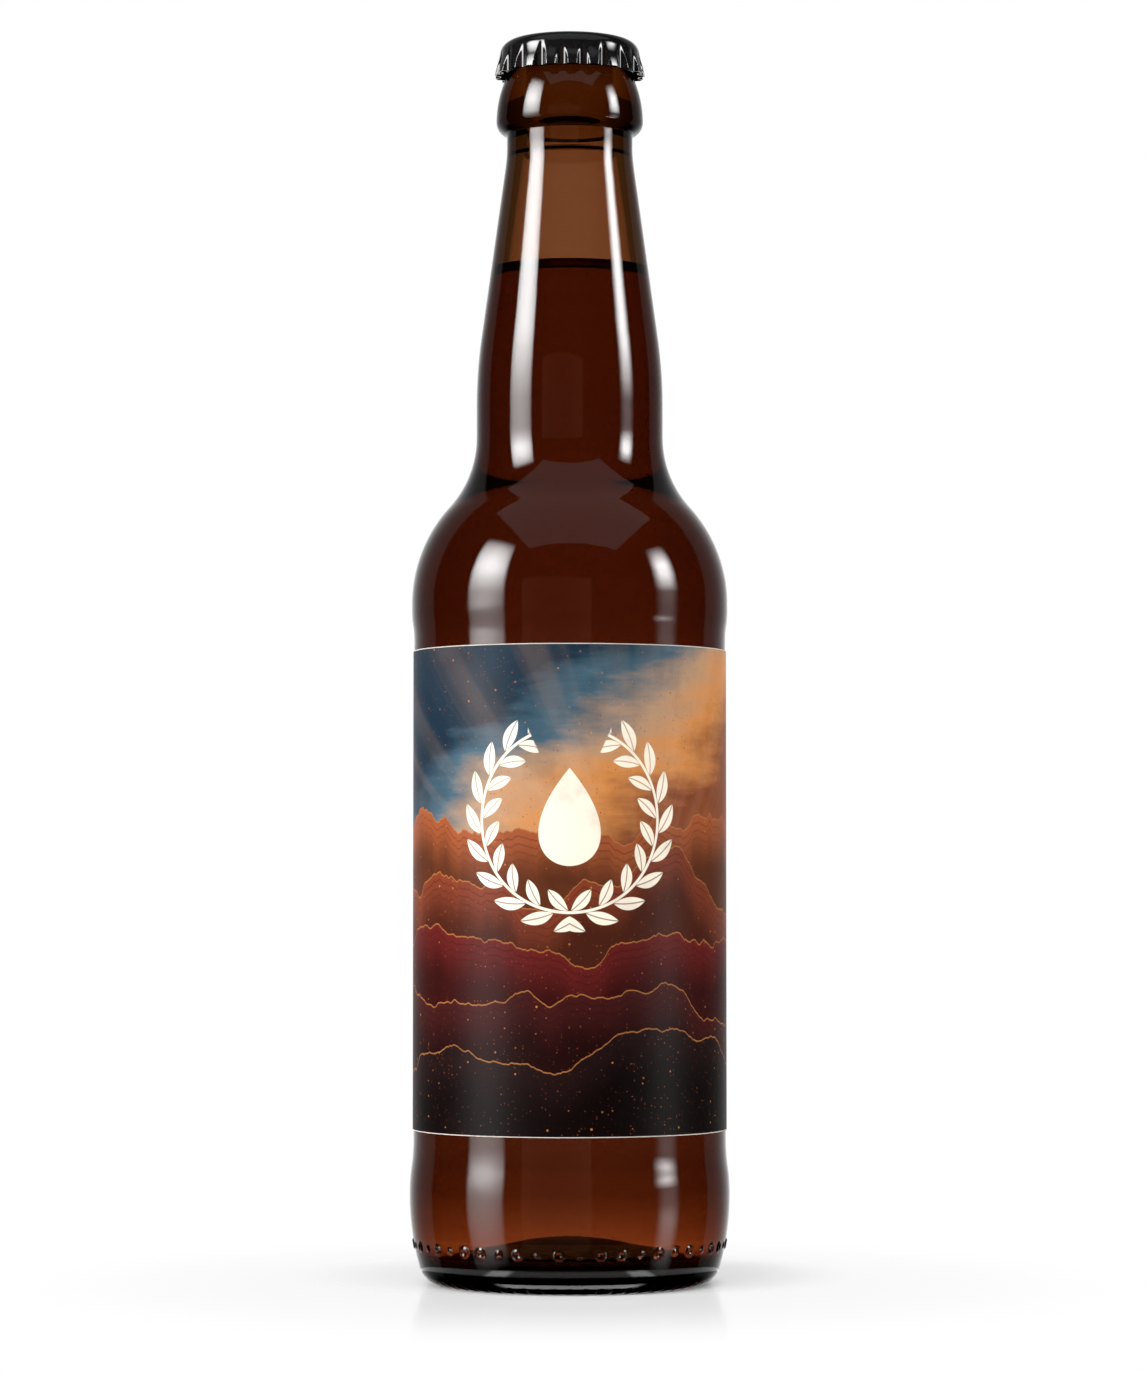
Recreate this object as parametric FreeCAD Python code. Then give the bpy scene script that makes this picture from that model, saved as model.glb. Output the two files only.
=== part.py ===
import FreeCAD, Part
import math
import os

from FreeCAD import Vector

# Driving dimensions in millimetres and degrees. Heights stack up from the surface that the bottle stands on.

# Foot and heel of the glass
heel_height = 16.9            # up to the widest ring
heel_r = 30.2
heel_bulge_radius = 52.0      # curve of the heel below its widest ring
heel_corner_radius = 4.0
bearing_width = 2.0           # flat ring that the bottle stands on
push_up_height = 6.7          # underside of the domed base at its centre
push_up_corner_radius = 2.5

# Knurl notches in the foot and the plain raised dots above it
notch_count = 60
notch_radius = 0.9
notch_depth = 0.3
notch_length = 6.0
notch_tilt = 25.0             # where the notch sits on the heel corner, from straight down
dot_count = 48
dot_height = 7.5
dot_r = 1.0
dot_rise = 0.25

# Label panel and shoulder
heel_blend_height = 10.1
panel_recess = 0.7            # label panel inside the widest ring of the heel
panel_height = 94.0
ridge_blend_height = 6.0
ridge_recess = 0.25           # shoulder inside the widest ring of the heel
ridge_height = 1.2
shoulder_height = 31.75
shoulder_share = 0.575        # part of the shoulder's turn that is the outward curve
blend_share = 0.5             # the same, of the small steps into and out of the panel

# Neck
neck_foot_r = 17.72
neck_foot_height = 12.55
neck_knee_radius = 95.0
neck_taper_height = 41.1
throat_bend_radius = 30.0
throat_height = 4.15

# Crown finish of the glass
bore_r = 8.2
finish_wall = 4.65            # bore to the ring that the crown grips under
collar_step = 1.15            # collar outside that ring
collar_ledge = 2.03           # collar outside the neck below it
collar_round = 2.6
collar_flank_height = 9.2
groove_depth = 1.0
groove_height = 0.2
lock_slope_height = 0.7
lock_band_height = 1.85
lip_radius = 2.4
bore_step_height = 0.7
mouth_round = 0.8

# Walls of the glass
body_wall = 2.4
neck_wall = 3.0
base_thickness = 3.9
bearing_thickness = 4.0
floor_corner_radius = 5.5

# Drink
fill_depth = 44.2             # flat level below the lip
meniscus = 1.9
drink_gap = 0.05

# Crown cap and its liner
crown_height = 6.6
crown_sheet = 0.24
crown_corner_radius = 2.6
crown_flare = 16.0
crown_clearance = 0.25        # flutes to the locking ring
flute_count = 21
flute_radius = 1.3
crown_turn = 3.3              # first crest, to the right of the front
liner_ring = 0.9
liner_film = 0.25
liner_relief = 0.3
liner_lead = 0.6
liner_overhang = 0.36         # ring inside the flat of the lip

# Label and its glue
label_margin = 1.85
label_thickness = 0.12
glue_thickness = 0.03
lap_length = 8.0
lap_ramp_length = 5.0
lap_gap_length = 1.0

# Tools that cut through a face run past it by this much
overrun = 1.0

# Radii outside the glass
panel_r = heel_r - panel_recess
ridge_r = heel_r - ridge_recess
lock_r = bore_r + finish_wall
collar_r = lock_r + collar_step
groove_r = lock_r - groove_depth
throat_r = collar_r - collar_ledge

# Heights of the stations along the axis
z_heel = heel_height
z_panel = z_heel + heel_blend_height
z_panel_top = z_panel + panel_height
z_ridge = z_panel_top + ridge_blend_height
z_shoulder = z_ridge + ridge_height
z_neck = z_shoulder + shoulder_height
z_knee = z_neck + neck_foot_height
z_throat = z_knee + neck_taper_height
z_bore = z_throat + bore_step_height
z_collar = z_throat + throat_height
z_collar_widest = z_collar + math.sqrt(collar_round**2 - (collar_round - collar_r + throat_r)**2)
z_groove = z_collar_widest + collar_flank_height
z_lock_foot = z_groove + groove_height
z_lock = z_lock_foot + lock_slope_height
z_lip = z_lock + lock_band_height + lip_radius
z_fill = z_lip - fill_depth
z_ceiling = z_lip + liner_ring
z_crown_top = z_ceiling + crown_sheet
z_crown_bottom = z_crown_top - crown_height

# Radii inside the glass
wall_r = panel_r - body_wall
neck_inner_r = neck_foot_r - neck_wall
throat_inner_r = throat_r - neck_wall

# The crown's flat top, and the axis of the round flutes pressed into its skirt
crown_flat_r = lock_r + crown_clearance - crown_corner_radius
flute_axis_r = lock_r + crown_clearance + crown_sheet + flute_radius


def at(r, z):
    """A point of a half section, at radius r and height z."""
    return Vector(r, 0, z)


def line(start, end):
    return Part.LineSegment(start, end).toShape()


def arc(centre, radius, start_angle, end_angle):
    """An arc of a half section. Angles are from the radial direction, towards +Z."""
    points = []
    for angle in (start_angle, (start_angle + end_angle) / 2, end_angle):
        turn = math.radians(angle)
        points.append(centre + radius * at(math.cos(turn), math.sin(turn)))
    return Part.Arc(*points).toShape()


def start_of(edge):
    return edge.valueAt(edge.FirstParameter)


def end_of(edge):
    return edge.valueAt(edge.LastParameter)


def revolved(edges):
    """A solid turned from edges that run in order from the axis back to the axis."""
    closing = line(end_of(edges[-1]), start_of(edges[0]))
    face = Part.Face(Part.Wire(edges + [closing]))
    return face.revolve(Vector(0, 0, 0), Vector(0, 0, 1), 360)


def turned_about_axis(shape, angle):
    copy = shape.copy()
    copy.rotate(Vector(0, 0, 0), Vector(0, 0, 1), angle)
    return copy


def s_curve(low, high, share):
    """Two tangent arcs that leave low and reach high parallel to the axis."""
    step = high.x - low.x
    rise = high.z - low.z
    turn = 2 * math.atan2(abs(step), rise)
    total = rise / math.sin(turn)
    side = math.copysign(1, step)
    middle = math.degrees(turn)
    low_centre = low + at(side * total * share, 0)
    high_centre = high - at(side * total * (1 - share), 0)
    if side > 0:
        return [arc(low_centre, total * share, 180, 180 - middle),
                arc(high_centre, total * (1 - share), -middle, 0)]
    return [arc(low_centre, total * share, 0, middle),
            arc(high_centre, total * (1 - share), 180 + middle, 180)]


def bend(before, corner, after, radius):
    """An arc that rounds the corner between two straight runs."""
    back = (before - corner).normalize()
    ahead = (after - corner).normalize()
    half = back.getAngle(ahead) / 2
    reach = radius / math.tan(half)
    centre = corner + (back + ahead).normalize() * (radius / math.sin(half))
    middle = centre + (corner - centre).normalize() * radius
    return Part.Arc(corner + back * reach, middle, corner + ahead * reach).toShape()


def domed_floor(apex_z, corner_centre, corner_radius):
    """A dome on the axis and the round trough about it, as two tangent arcs."""
    drop = corner_centre.z - apex_z
    dome_radius = (corner_centre.x**2 + drop**2 - corner_radius**2) / (2 * (corner_radius - drop))
    dome_centre = at(0, apex_z - dome_radius)
    lean = math.degrees(math.atan2(corner_centre.z - dome_centre.z, corner_centre.x))
    return [arc(dome_centre, dome_radius, 90, lean),
            arc(corner_centre, corner_radius, 180 + lean, 270)]


def neck_run(foot, knee, throat, end, knee_radius, throat_radius):
    """Straight foot, bend, taper, bend and straight throat of the neck."""
    knee_arc = bend(foot, knee, throat, knee_radius)
    throat_arc = bend(knee, throat, end, throat_radius)
    return [line(foot, start_of(knee_arc)), knee_arc,
            line(end_of(knee_arc), start_of(throat_arc)), throat_arc,
            line(end_of(throat_arc), end)]


# Heel geometry that the outline, the notches and the dots share
heel_centre = at(heel_r - heel_bulge_radius, z_heel)
heel_reach = heel_bulge_radius - heel_corner_radius
heel_corner_centre = at(heel_centre.x + math.sqrt(heel_reach**2 - (z_heel - heel_corner_radius)**2),
                        heel_corner_radius)


def foot_outline():
    """Underside, bearing ring and heel, from the axis up to the widest ring."""
    bearing_inner = at(heel_corner_centre.x - bearing_width, 0)
    push_up = domed_floor(push_up_height, bearing_inner + at(0, push_up_corner_radius), push_up_corner_radius)
    towards_corner = heel_corner_centre - heel_centre
    lean = math.degrees(math.atan2(towards_corner.z, towards_corner.x))
    return push_up + [
        line(bearing_inner, at(heel_corner_centre.x, 0)),
        arc(heel_corner_centre, heel_corner_radius, -90, lean),
        arc(heel_centre, heel_bulge_radius, lean, 0)]


def body_outline():
    """Heel blend, label panel, ridge and shoulder."""
    panel_low = at(panel_r, z_panel)
    panel_high = at(panel_r, z_panel_top)
    ridge_low = at(ridge_r, z_ridge)
    ridge_high = at(ridge_r, z_shoulder)
    return (s_curve(at(heel_r, z_heel), panel_low, blend_share)
            + [line(panel_low, panel_high)]
            + s_curve(panel_high, ridge_low, blend_share)
            + [line(ridge_low, ridge_high)]
            + s_curve(ridge_high, at(neck_foot_r, z_neck), shoulder_share))


def finish_outline():
    """Collar, groove, locking ring and lip, from the neck in to the axis."""
    underside_centre = at(collar_r - collar_round, z_collar_widest)
    root = math.degrees(math.atan2(z_collar - z_collar_widest, throat_r - underside_centre.x))
    flank_step = collar_r - groove_r
    flank_radius = (collar_flank_height**2 + flank_step**2) / (2 * flank_step)
    flank_turn = math.degrees(math.asin(collar_flank_height / flank_radius))
    lip_centre = at(lock_r - lip_radius, z_lip - lip_radius)
    return [
        arc(underside_centre, collar_round, root, 0),
        arc(at(collar_r - flank_radius, z_collar_widest), flank_radius, 0, flank_turn),
        line(at(groove_r, z_groove), at(groove_r, z_lock_foot)),
        line(at(groove_r, z_lock_foot), at(lock_r, z_lock)),
        line(at(lock_r, z_lock), at(lock_r, lip_centre.z)),
        arc(lip_centre, lip_radius, 0, 90),
        line(at(lip_centre.x, z_lip), at(0, z_lip))]


def glass_outside():
    neck = neck_run(at(neck_foot_r, z_neck), at(neck_foot_r, z_knee), at(throat_r, z_throat),
                    at(throat_r, z_collar), neck_knee_radius, throat_bend_radius)
    return revolved(foot_outline() + body_outline() + neck + finish_outline())


def cavity(gap):
    """The space inside the glass, smaller all round by a gap, and open past the lip."""
    corner_centre = at(wall_r - floor_corner_radius, bearing_thickness + floor_corner_radius)
    trough = floor_corner_radius - gap
    floor = domed_floor(push_up_height + base_thickness + gap, corner_centre, trough)
    wall_low = at(wall_r - gap, corner_centre.z)
    wall_high = at(wall_r - gap, z_shoulder)
    neck_low = at(neck_inner_r - gap, z_neck)
    knee = at(neck_inner_r - gap, z_knee)
    throat = at(throat_inner_r - gap, z_throat)
    bore_low = at(bore_r - gap, z_bore)
    bore_high = at(bore_r - gap, z_lip - mouth_round)
    knee_arc = bend(neck_low, knee, throat, neck_knee_radius)
    mouth_r = bore_r - gap + mouth_round
    edges = floor + [arc(corner_centre, trough, -90, 0), line(wall_low, wall_high)]
    edges += s_curve(wall_high, neck_low, shoulder_share)
    edges += [
        line(neck_low, start_of(knee_arc)), knee_arc,
        line(end_of(knee_arc), throat),
        line(throat, bore_low),
        line(bore_low, bore_high),
        arc(bore_high + at(mouth_round, 0), mouth_round, 180, 90),
        line(at(mouth_r, z_lip), at(mouth_r, z_lip + overrun)),
        line(at(mouth_r, z_lip + overrun), at(0, z_lip + overrun))]
    return revolved(edges)


def foot_notches():
    """Knurl notches that bite into the heel corner just outside the bearing ring."""
    tilt = math.radians(notch_tilt)
    outward = at(math.sin(tilt), -math.cos(tilt))
    along = at(math.cos(tilt), math.sin(tilt))
    surface = heel_corner_centre + outward * heel_corner_radius
    middle = surface + outward * (notch_radius - notch_depth)
    notch = Part.makeCylinder(notch_radius, notch_length, middle - along * (notch_length / 2), along)
    return [turned_about_axis(notch, 360.0 * i / notch_count) for i in range(notch_count)]


def heel_dots():
    """Low round dots on the heel, each a cap of a ball sunk in the glass."""
    ball = (dot_r**2 + dot_rise**2) / (2 * dot_rise)
    sink = math.asin((z_heel - dot_height) / heel_bulge_radius)
    outward = at(math.cos(sink), -math.sin(sink))
    centre = heel_centre + outward * (heel_bulge_radius + dot_rise - ball)
    dot = Part.makeSphere(ball, centre)
    return [turned_about_axis(dot, 360.0 * (i + 0.5) / dot_count) for i in range(dot_count)]


def glass_bottle():
    solid = glass_outside().fuse(heel_dots())
    return solid.cut(foot_notches() + [cavity(0)])


def soda():
    """The drink, with its surface drawn up to the glass all round."""
    slope = (neck_inner_r - throat_inner_r) / neck_taper_height
    brim_z = z_fill + meniscus
    brim_r = neck_inner_r - slope * (brim_z - z_knee) - drink_gap
    above_lip = z_crown_top + overrun
    above = [
        line(at(0, z_fill), at(brim_r - meniscus, z_fill)),
        arc(at(brim_r - meniscus, brim_z), meniscus, -90, 0),
        line(at(brim_r, brim_z), at(wall_r, brim_z)),
        line(at(wall_r, brim_z), at(wall_r, above_lip)),
        line(at(wall_r, above_lip), at(0, above_lip))]
    return cavity(drink_gap).cut(revolved(above))


def crown_core(inset, bottom):
    """The cap as if solid, smaller by an inset, with its round flutes cut into the flared skirt."""
    corner = crown_corner_radius - inset
    centre = at(crown_flat_r, z_crown_top - crown_corner_radius)
    shoulder = arc(centre, corner, 90, crown_flare)
    skirt_top = end_of(shoulder)
    flare = math.tan(math.radians(crown_flare))
    skirt_bottom = at(skirt_top.x + (skirt_top.z - bottom) * flare, bottom)
    core = revolved([line(at(0, z_crown_top - inset), start_of(shoulder)), shoulder,
                     line(skirt_top, skirt_bottom), line(skirt_bottom, at(0, bottom))])
    pitch = 360.0 / flute_count
    flutes = []
    for i in range(flute_count):
        foot = Vector(flute_axis_r, 0, bottom - overrun)
        flute = Part.makeCylinder(flute_radius + inset, z_crown_top - foot.z, foot)
        flutes.append(turned_about_axis(flute, crown_turn - 90 + pitch * (i + 0.5)))
    return core.cut(flutes)


def crown_cap():
    return crown_core(0, z_crown_bottom).cut(crown_core(crown_sheet, z_crown_bottom - overrun))


def cap_liner():
    """A film under the crown with a thicker ring that seats on the lip."""
    corner = crown_corner_radius - crown_sheet - liner_relief
    ring_outer = crown_flat_r + math.sqrt(corner**2 - (corner - liner_ring)**2)
    ring_inner = bore_r + mouth_round - liner_overhang
    film_r = ring_inner - liner_lead
    turn = math.degrees(math.asin((corner - liner_ring) / corner))
    return revolved([
        line(at(0, z_ceiling), at(crown_flat_r, z_ceiling)),
        arc(at(crown_flat_r, z_ceiling - corner), corner, 90, turn),
        line(at(ring_outer, z_lip), at(ring_inner, z_lip)),
        line(at(ring_inner, z_lip), at(film_r, z_ceiling - liner_film)),
        line(at(film_r, z_ceiling - liner_film), at(0, z_ceiling - liner_film))])


# Label: radii of its two faces, and the angles of its lap, which is centred on the back
label_r = panel_r + glue_thickness
lap_r = label_r + label_thickness + glue_thickness
lap_turn = math.degrees(lap_length / label_r)
lap_ramp_turn = math.degrees(lap_ramp_length / label_r)
lap_gap_turn = math.degrees(lap_gap_length / label_r)
label_start = 90 - lap_turn / 2
label_foot_z = z_panel + label_margin
label_height = panel_height - 2 * label_margin


def around(r, angle):
    """A point of a plan at the label's foot."""
    turn = math.radians(angle)
    return Vector(r * math.cos(turn), r * math.sin(turn), label_foot_z)


def plan_arc(start_r, start_angle, end_r, end_angle):
    middle = around((start_r + end_r) / 2, (start_angle + end_angle) / 2)
    return Part.Arc(around(start_r, start_angle), middle, around(end_r, end_angle)).toShape()


def label_face_run(step):
    """One face of the label: half round, half round, the ramp over its own start, and the lap."""
    ramp_end = label_start + 360 - lap_gap_turn
    ramp_start = ramp_end - lap_ramp_turn
    halfway = (label_start + ramp_start) / 2
    low = label_r + step
    high = lap_r + step
    return [plan_arc(low, label_start, low, halfway),
            plan_arc(low, halfway, low, ramp_start),
            plan_arc(low, ramp_start, high, ramp_end),
            plan_arc(high, ramp_end, high, label_start + 360 + lap_turn)]


def extruded(edges):
    face = Part.Face(Part.Wire(Part.__sortEdges__(edges)))
    return face.extrude(Vector(0, 0, label_height))


def label():
    inner = label_face_run(0)
    outer = label_face_run(label_thickness)
    ends = [line(start_of(inner[0]), start_of(outer[0])), line(end_of(inner[-1]), end_of(outer[-1]))]
    return extruded(inner + outer + ends)


def label_adhesive():
    """The glue film round the glass, and the strip that closes the lap."""
    foot = Vector(0, 0, label_foot_z)
    film = Part.makeCylinder(label_r, label_height, foot).cut(Part.makeCylinder(panel_r, label_height, foot))
    under = lap_r - glue_thickness
    lap_end = label_start + lap_turn
    inner = plan_arc(under, label_start, under, lap_end)
    outer = plan_arc(lap_r, label_start, lap_r, lap_end)
    ends = [line(start_of(inner), start_of(outer)), line(end_of(inner), end_of(outer))]
    strip = extruded([inner, outer] + ends)
    return Part.makeCompound([film, strip])


os.makedirs("parts", exist_ok=True)
for build in (glass_bottle, soda, crown_cap, cap_liner, label, label_adhesive):
    shape = build()
    shape.exportStep("parts/" + build.__name__ + ".step")
    box = shape.BoundBox
    print(build.__name__, shape.isValid(), len(shape.Solids), round(shape.Volume, 1),
          "z", round(box.ZMin, 3), round(box.ZMax, 3), "r", round(box.XMax, 3))
print("crown top", round(z_crown_top, 3), "lip", round(z_lip, 3), "fill", round(z_fill, 3))
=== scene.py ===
"""Looks of a sealed amber glass soda bottle, built around its packed CAD part.

Every size is in metres, in the frame of the CAD part: +Z up along the bottle's axis, -Y to the front.
"""

import math
from types import SimpleNamespace

import bpy
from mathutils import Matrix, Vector


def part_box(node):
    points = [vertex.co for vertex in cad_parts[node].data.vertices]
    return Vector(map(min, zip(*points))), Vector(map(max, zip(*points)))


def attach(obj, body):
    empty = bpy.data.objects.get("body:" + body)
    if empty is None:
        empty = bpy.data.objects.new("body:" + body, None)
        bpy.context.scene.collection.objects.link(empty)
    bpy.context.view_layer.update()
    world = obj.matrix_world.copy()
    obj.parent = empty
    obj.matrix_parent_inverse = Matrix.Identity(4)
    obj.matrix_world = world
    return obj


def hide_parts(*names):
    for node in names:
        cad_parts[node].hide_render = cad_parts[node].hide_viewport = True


bl_info = {
    "name": "Glass Soda Bottle",
    "version": (1, 0, 0),
    "blender": (4, 5, 0),
    "location": "3D View > Sidebar > Bottle",
    "description": "Builds the looks of a sealed amber glass soda bottle around its CAD part",
    "category": "Object",
}

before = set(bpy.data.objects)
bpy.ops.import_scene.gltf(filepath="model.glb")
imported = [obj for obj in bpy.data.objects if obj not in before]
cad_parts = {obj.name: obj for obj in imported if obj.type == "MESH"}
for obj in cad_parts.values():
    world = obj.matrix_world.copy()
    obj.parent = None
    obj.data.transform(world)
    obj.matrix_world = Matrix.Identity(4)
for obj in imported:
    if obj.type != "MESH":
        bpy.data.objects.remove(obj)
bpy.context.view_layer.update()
glass_low, glass_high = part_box("glass_bottle")
crown_low, crown_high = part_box("crown_cap")
label_low, label_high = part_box("label")


# Properties


def length(name, description, default):
    return bpy.props.FloatProperty(
        name=name, description=description, default=default, min=0.0, precision=5, unit="LENGTH")


def angle(name, description, degrees):
    return bpy.props.FloatProperty(
        name=name, description=description, default=math.radians(degrees), subtype="ANGLE")


def count(name, description, default):
    return bpy.props.IntProperty(name=name, description=description, default=default, min=1)


def share(name, description, default):
    return bpy.props.FloatProperty(
        name=name, description=description, default=default, min=0.0, max=1.0, subtype="FACTOR")


def level(name, description, default):
    return bpy.props.FloatProperty(name=name, description=description, default=default, min=0.0)


def colour(name, description, default):
    return bpy.props.FloatVectorProperty(
        name=name, description=description, default=default, size=3, min=0.0, max=1.0, subtype="COLOR")


class BottleGlass(bpy.types.PropertyGroup):
    """Outline, walls and tint of the glass."""

    heel_r: length("Heel radius", "Widest ring of the heel", glass_high.x)
    heel_height: length("Heel height", "Up to the widest ring of the heel", 0.0169)
    heel_bulge_radius: length("Heel bulge", "Curve of the heel below its widest ring", 0.052)
    heel_corner_radius: length("Heel corner", "Round between heel and bearing ring", 0.004)
    bearing_width: length("Bearing width", "Flat ring that the bottle stands on", 0.002)
    push_up_height: length("Push-up", "Underside of the domed base at its centre", 0.0067)
    push_up_corner_radius: length("Push-up corner", "Round inside the bearing ring", 0.0025)
    notch_count: count("Notches", "Knurl notches round the foot", 60)
    notch_radius: length("Notch radius", "Round of one knurl notch", 0.0009)
    notch_depth: length("Notch depth", "Depth of one knurl notch", 0.0003)
    notch_tilt: angle("Notch tilt", "Place of a notch on the heel corner, from straight down", 25)
    dot_count: count("Dots", "Plain raised dots round the heel", 48)
    dot_height: length("Dot height", "Height of the row of dots", 0.0075)
    dot_r: length("Dot radius", "Radius of one dot", 0.001)
    dot_rise: length("Dot rise", "How far a dot stands out of the heel", 0.00025)
    heel_blend_height: length("Heel blend", "From the heel in to the label panel", 0.0101)
    panel_recess: length("Panel recess", "Label panel inside the widest ring of the heel", 0.0007)
    panel_height: length("Panel height", "Straight label panel", 0.094)
    ridge_blend_height: length("Ridge blend", "From the label panel out to the shoulder", 0.006)
    ridge_recess: length("Ridge recess", "Shoulder inside the widest ring of the heel", 0.00025)
    ridge_height: length("Ridge height", "Straight ring at the foot of the shoulder", 0.0012)
    shoulder_height: length("Shoulder height", "From the ridge to the neck", 0.03175)
    shoulder_share: share("Shoulder share", "Part of the shoulder that is the outward curve", 0.575)
    neck_foot_r: length("Neck radius", "Straight foot of the neck", 0.01772)
    neck_foot_height: length("Neck foot", "Straight part of the neck", 0.01255)
    neck_knee_radius: length("Neck knee", "Bend from the straight foot to the taper", 0.095)
    neck_taper_height: length("Neck taper", "Tapered part of the neck", 0.0411)
    throat_bend_radius: length("Throat bend", "Bend from the taper to the throat", 0.03)
    throat_height: length("Throat", "Straight throat under the collar", 0.00415)
    bore_r: length("Bore radius", "Bore of the finish", 0.0082)
    finish_wall: length("Finish wall", "Bore to the ring that the crown grips under", 0.00465)
    collar_step: length("Collar step", "Collar outside the locking ring", 0.00115)
    collar_ledge: length("Collar ledge", "Collar outside the throat", 0.00203)
    collar_round: length("Collar round", "Round of the collar's underside", 0.0026)
    collar_flank_height: length("Collar flank", "From the widest collar up to the groove", 0.0092)
    groove_depth: length("Groove depth", "Groove inside the locking ring", 0.001)
    groove_height: length("Groove height", "Straight part of the groove", 0.0002)
    lock_slope_height: length("Lock slope", "Slope under the locking ring", 0.0007)
    lock_band_height: length("Lock band", "Straight part of the locking ring", 0.00185)
    lip_radius: length("Lip", "Round of the lip", 0.0024)
    bore_step_height: length("Bore step", "Step from the throat in to the bore", 0.0007)
    mouth_round: length("Mouth round", "Round at the top of the bore", 0.0008)
    body_wall: length("Body wall", "Wall of the body", 0.0024)
    neck_wall: length("Neck wall", "Wall of the neck", 0.003)
    base_thickness: length("Base thickness", "Base at its centre", 0.0039)
    bearing_thickness: length("Bearing thickness", "Base over the bearing ring", 0.004)
    floor_corner_radius: length("Floor corner", "Round of the inner floor's trough", 0.0055)
    seam_rise: length("Seam rise", "Bead where the halves of the mould meet under the collar", 0.00009)
    edge_round: length("Edge round", "Round of the small edges of the finish", 0.00035)
    glue_hold: length("Glue hold", "How far the panel reaches into the glue film", 0.00001)
    tint: colour("Tint", "What is left of white light after one wall's surfaces", (0.74, 0.58, 0.61))
    finish_tint: colour("Finish tint", "The same in the thick finish", (0.65, 0.50, 0.46))
    finish_fade: length("Finish fade", "Height over which the finish takes its tint", 0.002)
    # Painted shade: a darker surface tint from the groove up, standing in for the shade that the crown
    # casts on the lip.
    lip_shade_tint: colour("Lip tint", "The same in the shade of the crown", (0.30, 0.17, 0.10))
    lip_shade_fade: length("Lip fade", "Height over which the lip takes its tint, up to the groove", 0.0045)
    body_colour: colour("Body colour", "Colour that the glass lets through", (0.698, 0.522, 0.218))
    density: level("Density", "How fast the glass absorbs the rest, per metre", 600.0)
    ior: level("Index", "How strongly the glass bends light", 1.5)


class BottleDrink(bpy.types.PropertyGroup):
    """Level and colour of the drink."""

    fill_depth: length("Fill depth", "Flat level below the lip", 0.0442)
    meniscus: length("Meniscus", "Rise of the drink at the glass", 0.0019)
    glass_hold: length("Glass hold", "How far the drink's surface lies inside the glass", 0.00006)
    tint: colour("Tint", "What is left of white light after the drink's surfaces", (0.275, 0.097, 0.044))
    # Painted glow: a paler surface tint low in the drink, standing in for light from the pale floor coming
    # through the base.
    foot_glow_tint: colour("Foot tint", "The same over the pale floor", (1.0, 0.52, 0.27))
    foot_glow_low: length("Foot low", "Height below which the foot's tint is whole", 0.0092)
    foot_glow_high: length("Foot high", "Height above which the foot's tint is gone", 0.0182)
    body_colour: colour("Body colour", "Colour that the drink lets through", (0.9, 0.6, 0.45))
    density: level("Density", "How fast the drink absorbs the rest, per metre", 1.0)
    ior: level("Index", "How strongly the drink bends light", 1.34)


class BottleCrown(bpy.types.PropertyGroup):
    """Shape and finish of the crown cap."""

    sheet: length("Sheet", "Thickness of the steel", 0.00024)
    corner_radius: length("Corner", "Round between top and skirt", 0.0026)
    lean: angle("Lean", "Lean of the crests at the corner", 8)
    flare: angle("Flare", "Lean of the crests where they are steepest", 18)
    foot_lean: angle("Foot lean", "Lean of the crests at the cut edge", 8)
    hollow_share: share("Hollow share", "Part of the skirt's height that is hollow", 0.48)
    clearance: length("Clearance", "Flutes to the locking ring", 0.00025)
    flute_count: count("Flutes", "Round flutes pressed into the skirt", 21)
    flute_radius: length("Flute radius", "Round of one flute", 0.0013)
    turn: angle("Turn", "First crest, to the right of the front", 2.1)
    crest_round: length("Crest round", "Round of the pressed edges", 0.0002)
    lacquer: colour("Lacquer", "Lacquer outside", (0.006, 0.006, 0.0065))
    steel: colour("Steel", "Bare cut edge", (0.62, 0.6, 0.57))
    compound: colour("Liner", "Sealing compound", (0.72, 0.73, 0.74))


class BottleLabel(bpy.types.PropertyGroup):
    """Sizes and printed colours of the label."""

    thickness: length("Thickness", "Varnished paper", 0.00012)
    glue: length("Glue", "Film under the paper", 0.00003)
    lap_length: length("Lap", "End of the label over its start", 0.008)
    lap_ramp: length("Lap ramp", "Where the label climbs over its start", 0.005)
    lap_gap: length("Lap gap", "Room between the ramp and the start", 0.001)
    margin: length("Margin", "Bare paper along the upper and lower edges", 0.00015)
    paper: colour("Paper", "Bare paper at the cut edges and behind", (0.55, 0.51, 0.46))
    glue_colour: colour("Glue colour", "Dried glue film", (0.62, 0.56, 0.42))
    night: colour("Night", "Top of the sky", (0.009, 0.024, 0.042))
    dusk: colour("Dusk", "Upper sky", (0.050, 0.105, 0.145))
    haze: colour("Haze", "Middle of the sky", (0.40, 0.24, 0.14))
    glow: colour("Glow", "Sky at the far hills", (0.56, 0.22, 0.06))
    far_hill: colour("Far hill", "Farthest range", (0.20, 0.050, 0.016))
    red_hill: colour("Red hill", "Middle range", (0.070, 0.006, 0.005))
    near_hill: colour("Near hill", "Nearest range", (0.009, 0.003, 0.003))
    cream: colour("Cream", "Wreath and its drop", (0.86, 0.78, 0.64))


class BottleStage(bpy.types.PropertyGroup):
    """Camera, lights and floor."""

    camera_distance: length("Camera distance", "Camera in front of the axis", 0.8124)
    camera_height: length("Camera height", "Camera above the floor", 0.0747)
    camera_side: length("Camera side", "Camera to the right of the axis", 0.00053)
    camera_pitch: angle("Camera pitch", "Camera tilted up", 2.66)
    lens: level("Lens", "Focal length in millimetres on a 36 mm sensor", 112.25)
    light_distance: length("Light distance", "Softboxes from the axis", 6.0)
    fill: level("Fill", "Even light from all round on matt surfaces", 0.42)
    floor_colour: colour("Floor", "Pale matt floor", (0.93, 0.93, 0.93))
    floor_white: share("Floor white", "White that the camera sees in the floor at the bottle", 0.5)
    inner_white: share("Inner white", "White behind that shows after a reflection inside the glass", 0.25)


# Half sections: runs of points at radius x and height y, both ends included

same_point = 1e-7
on_axis = 1e-9
corner_refinement = 3
wall_coarsening = 6


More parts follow.
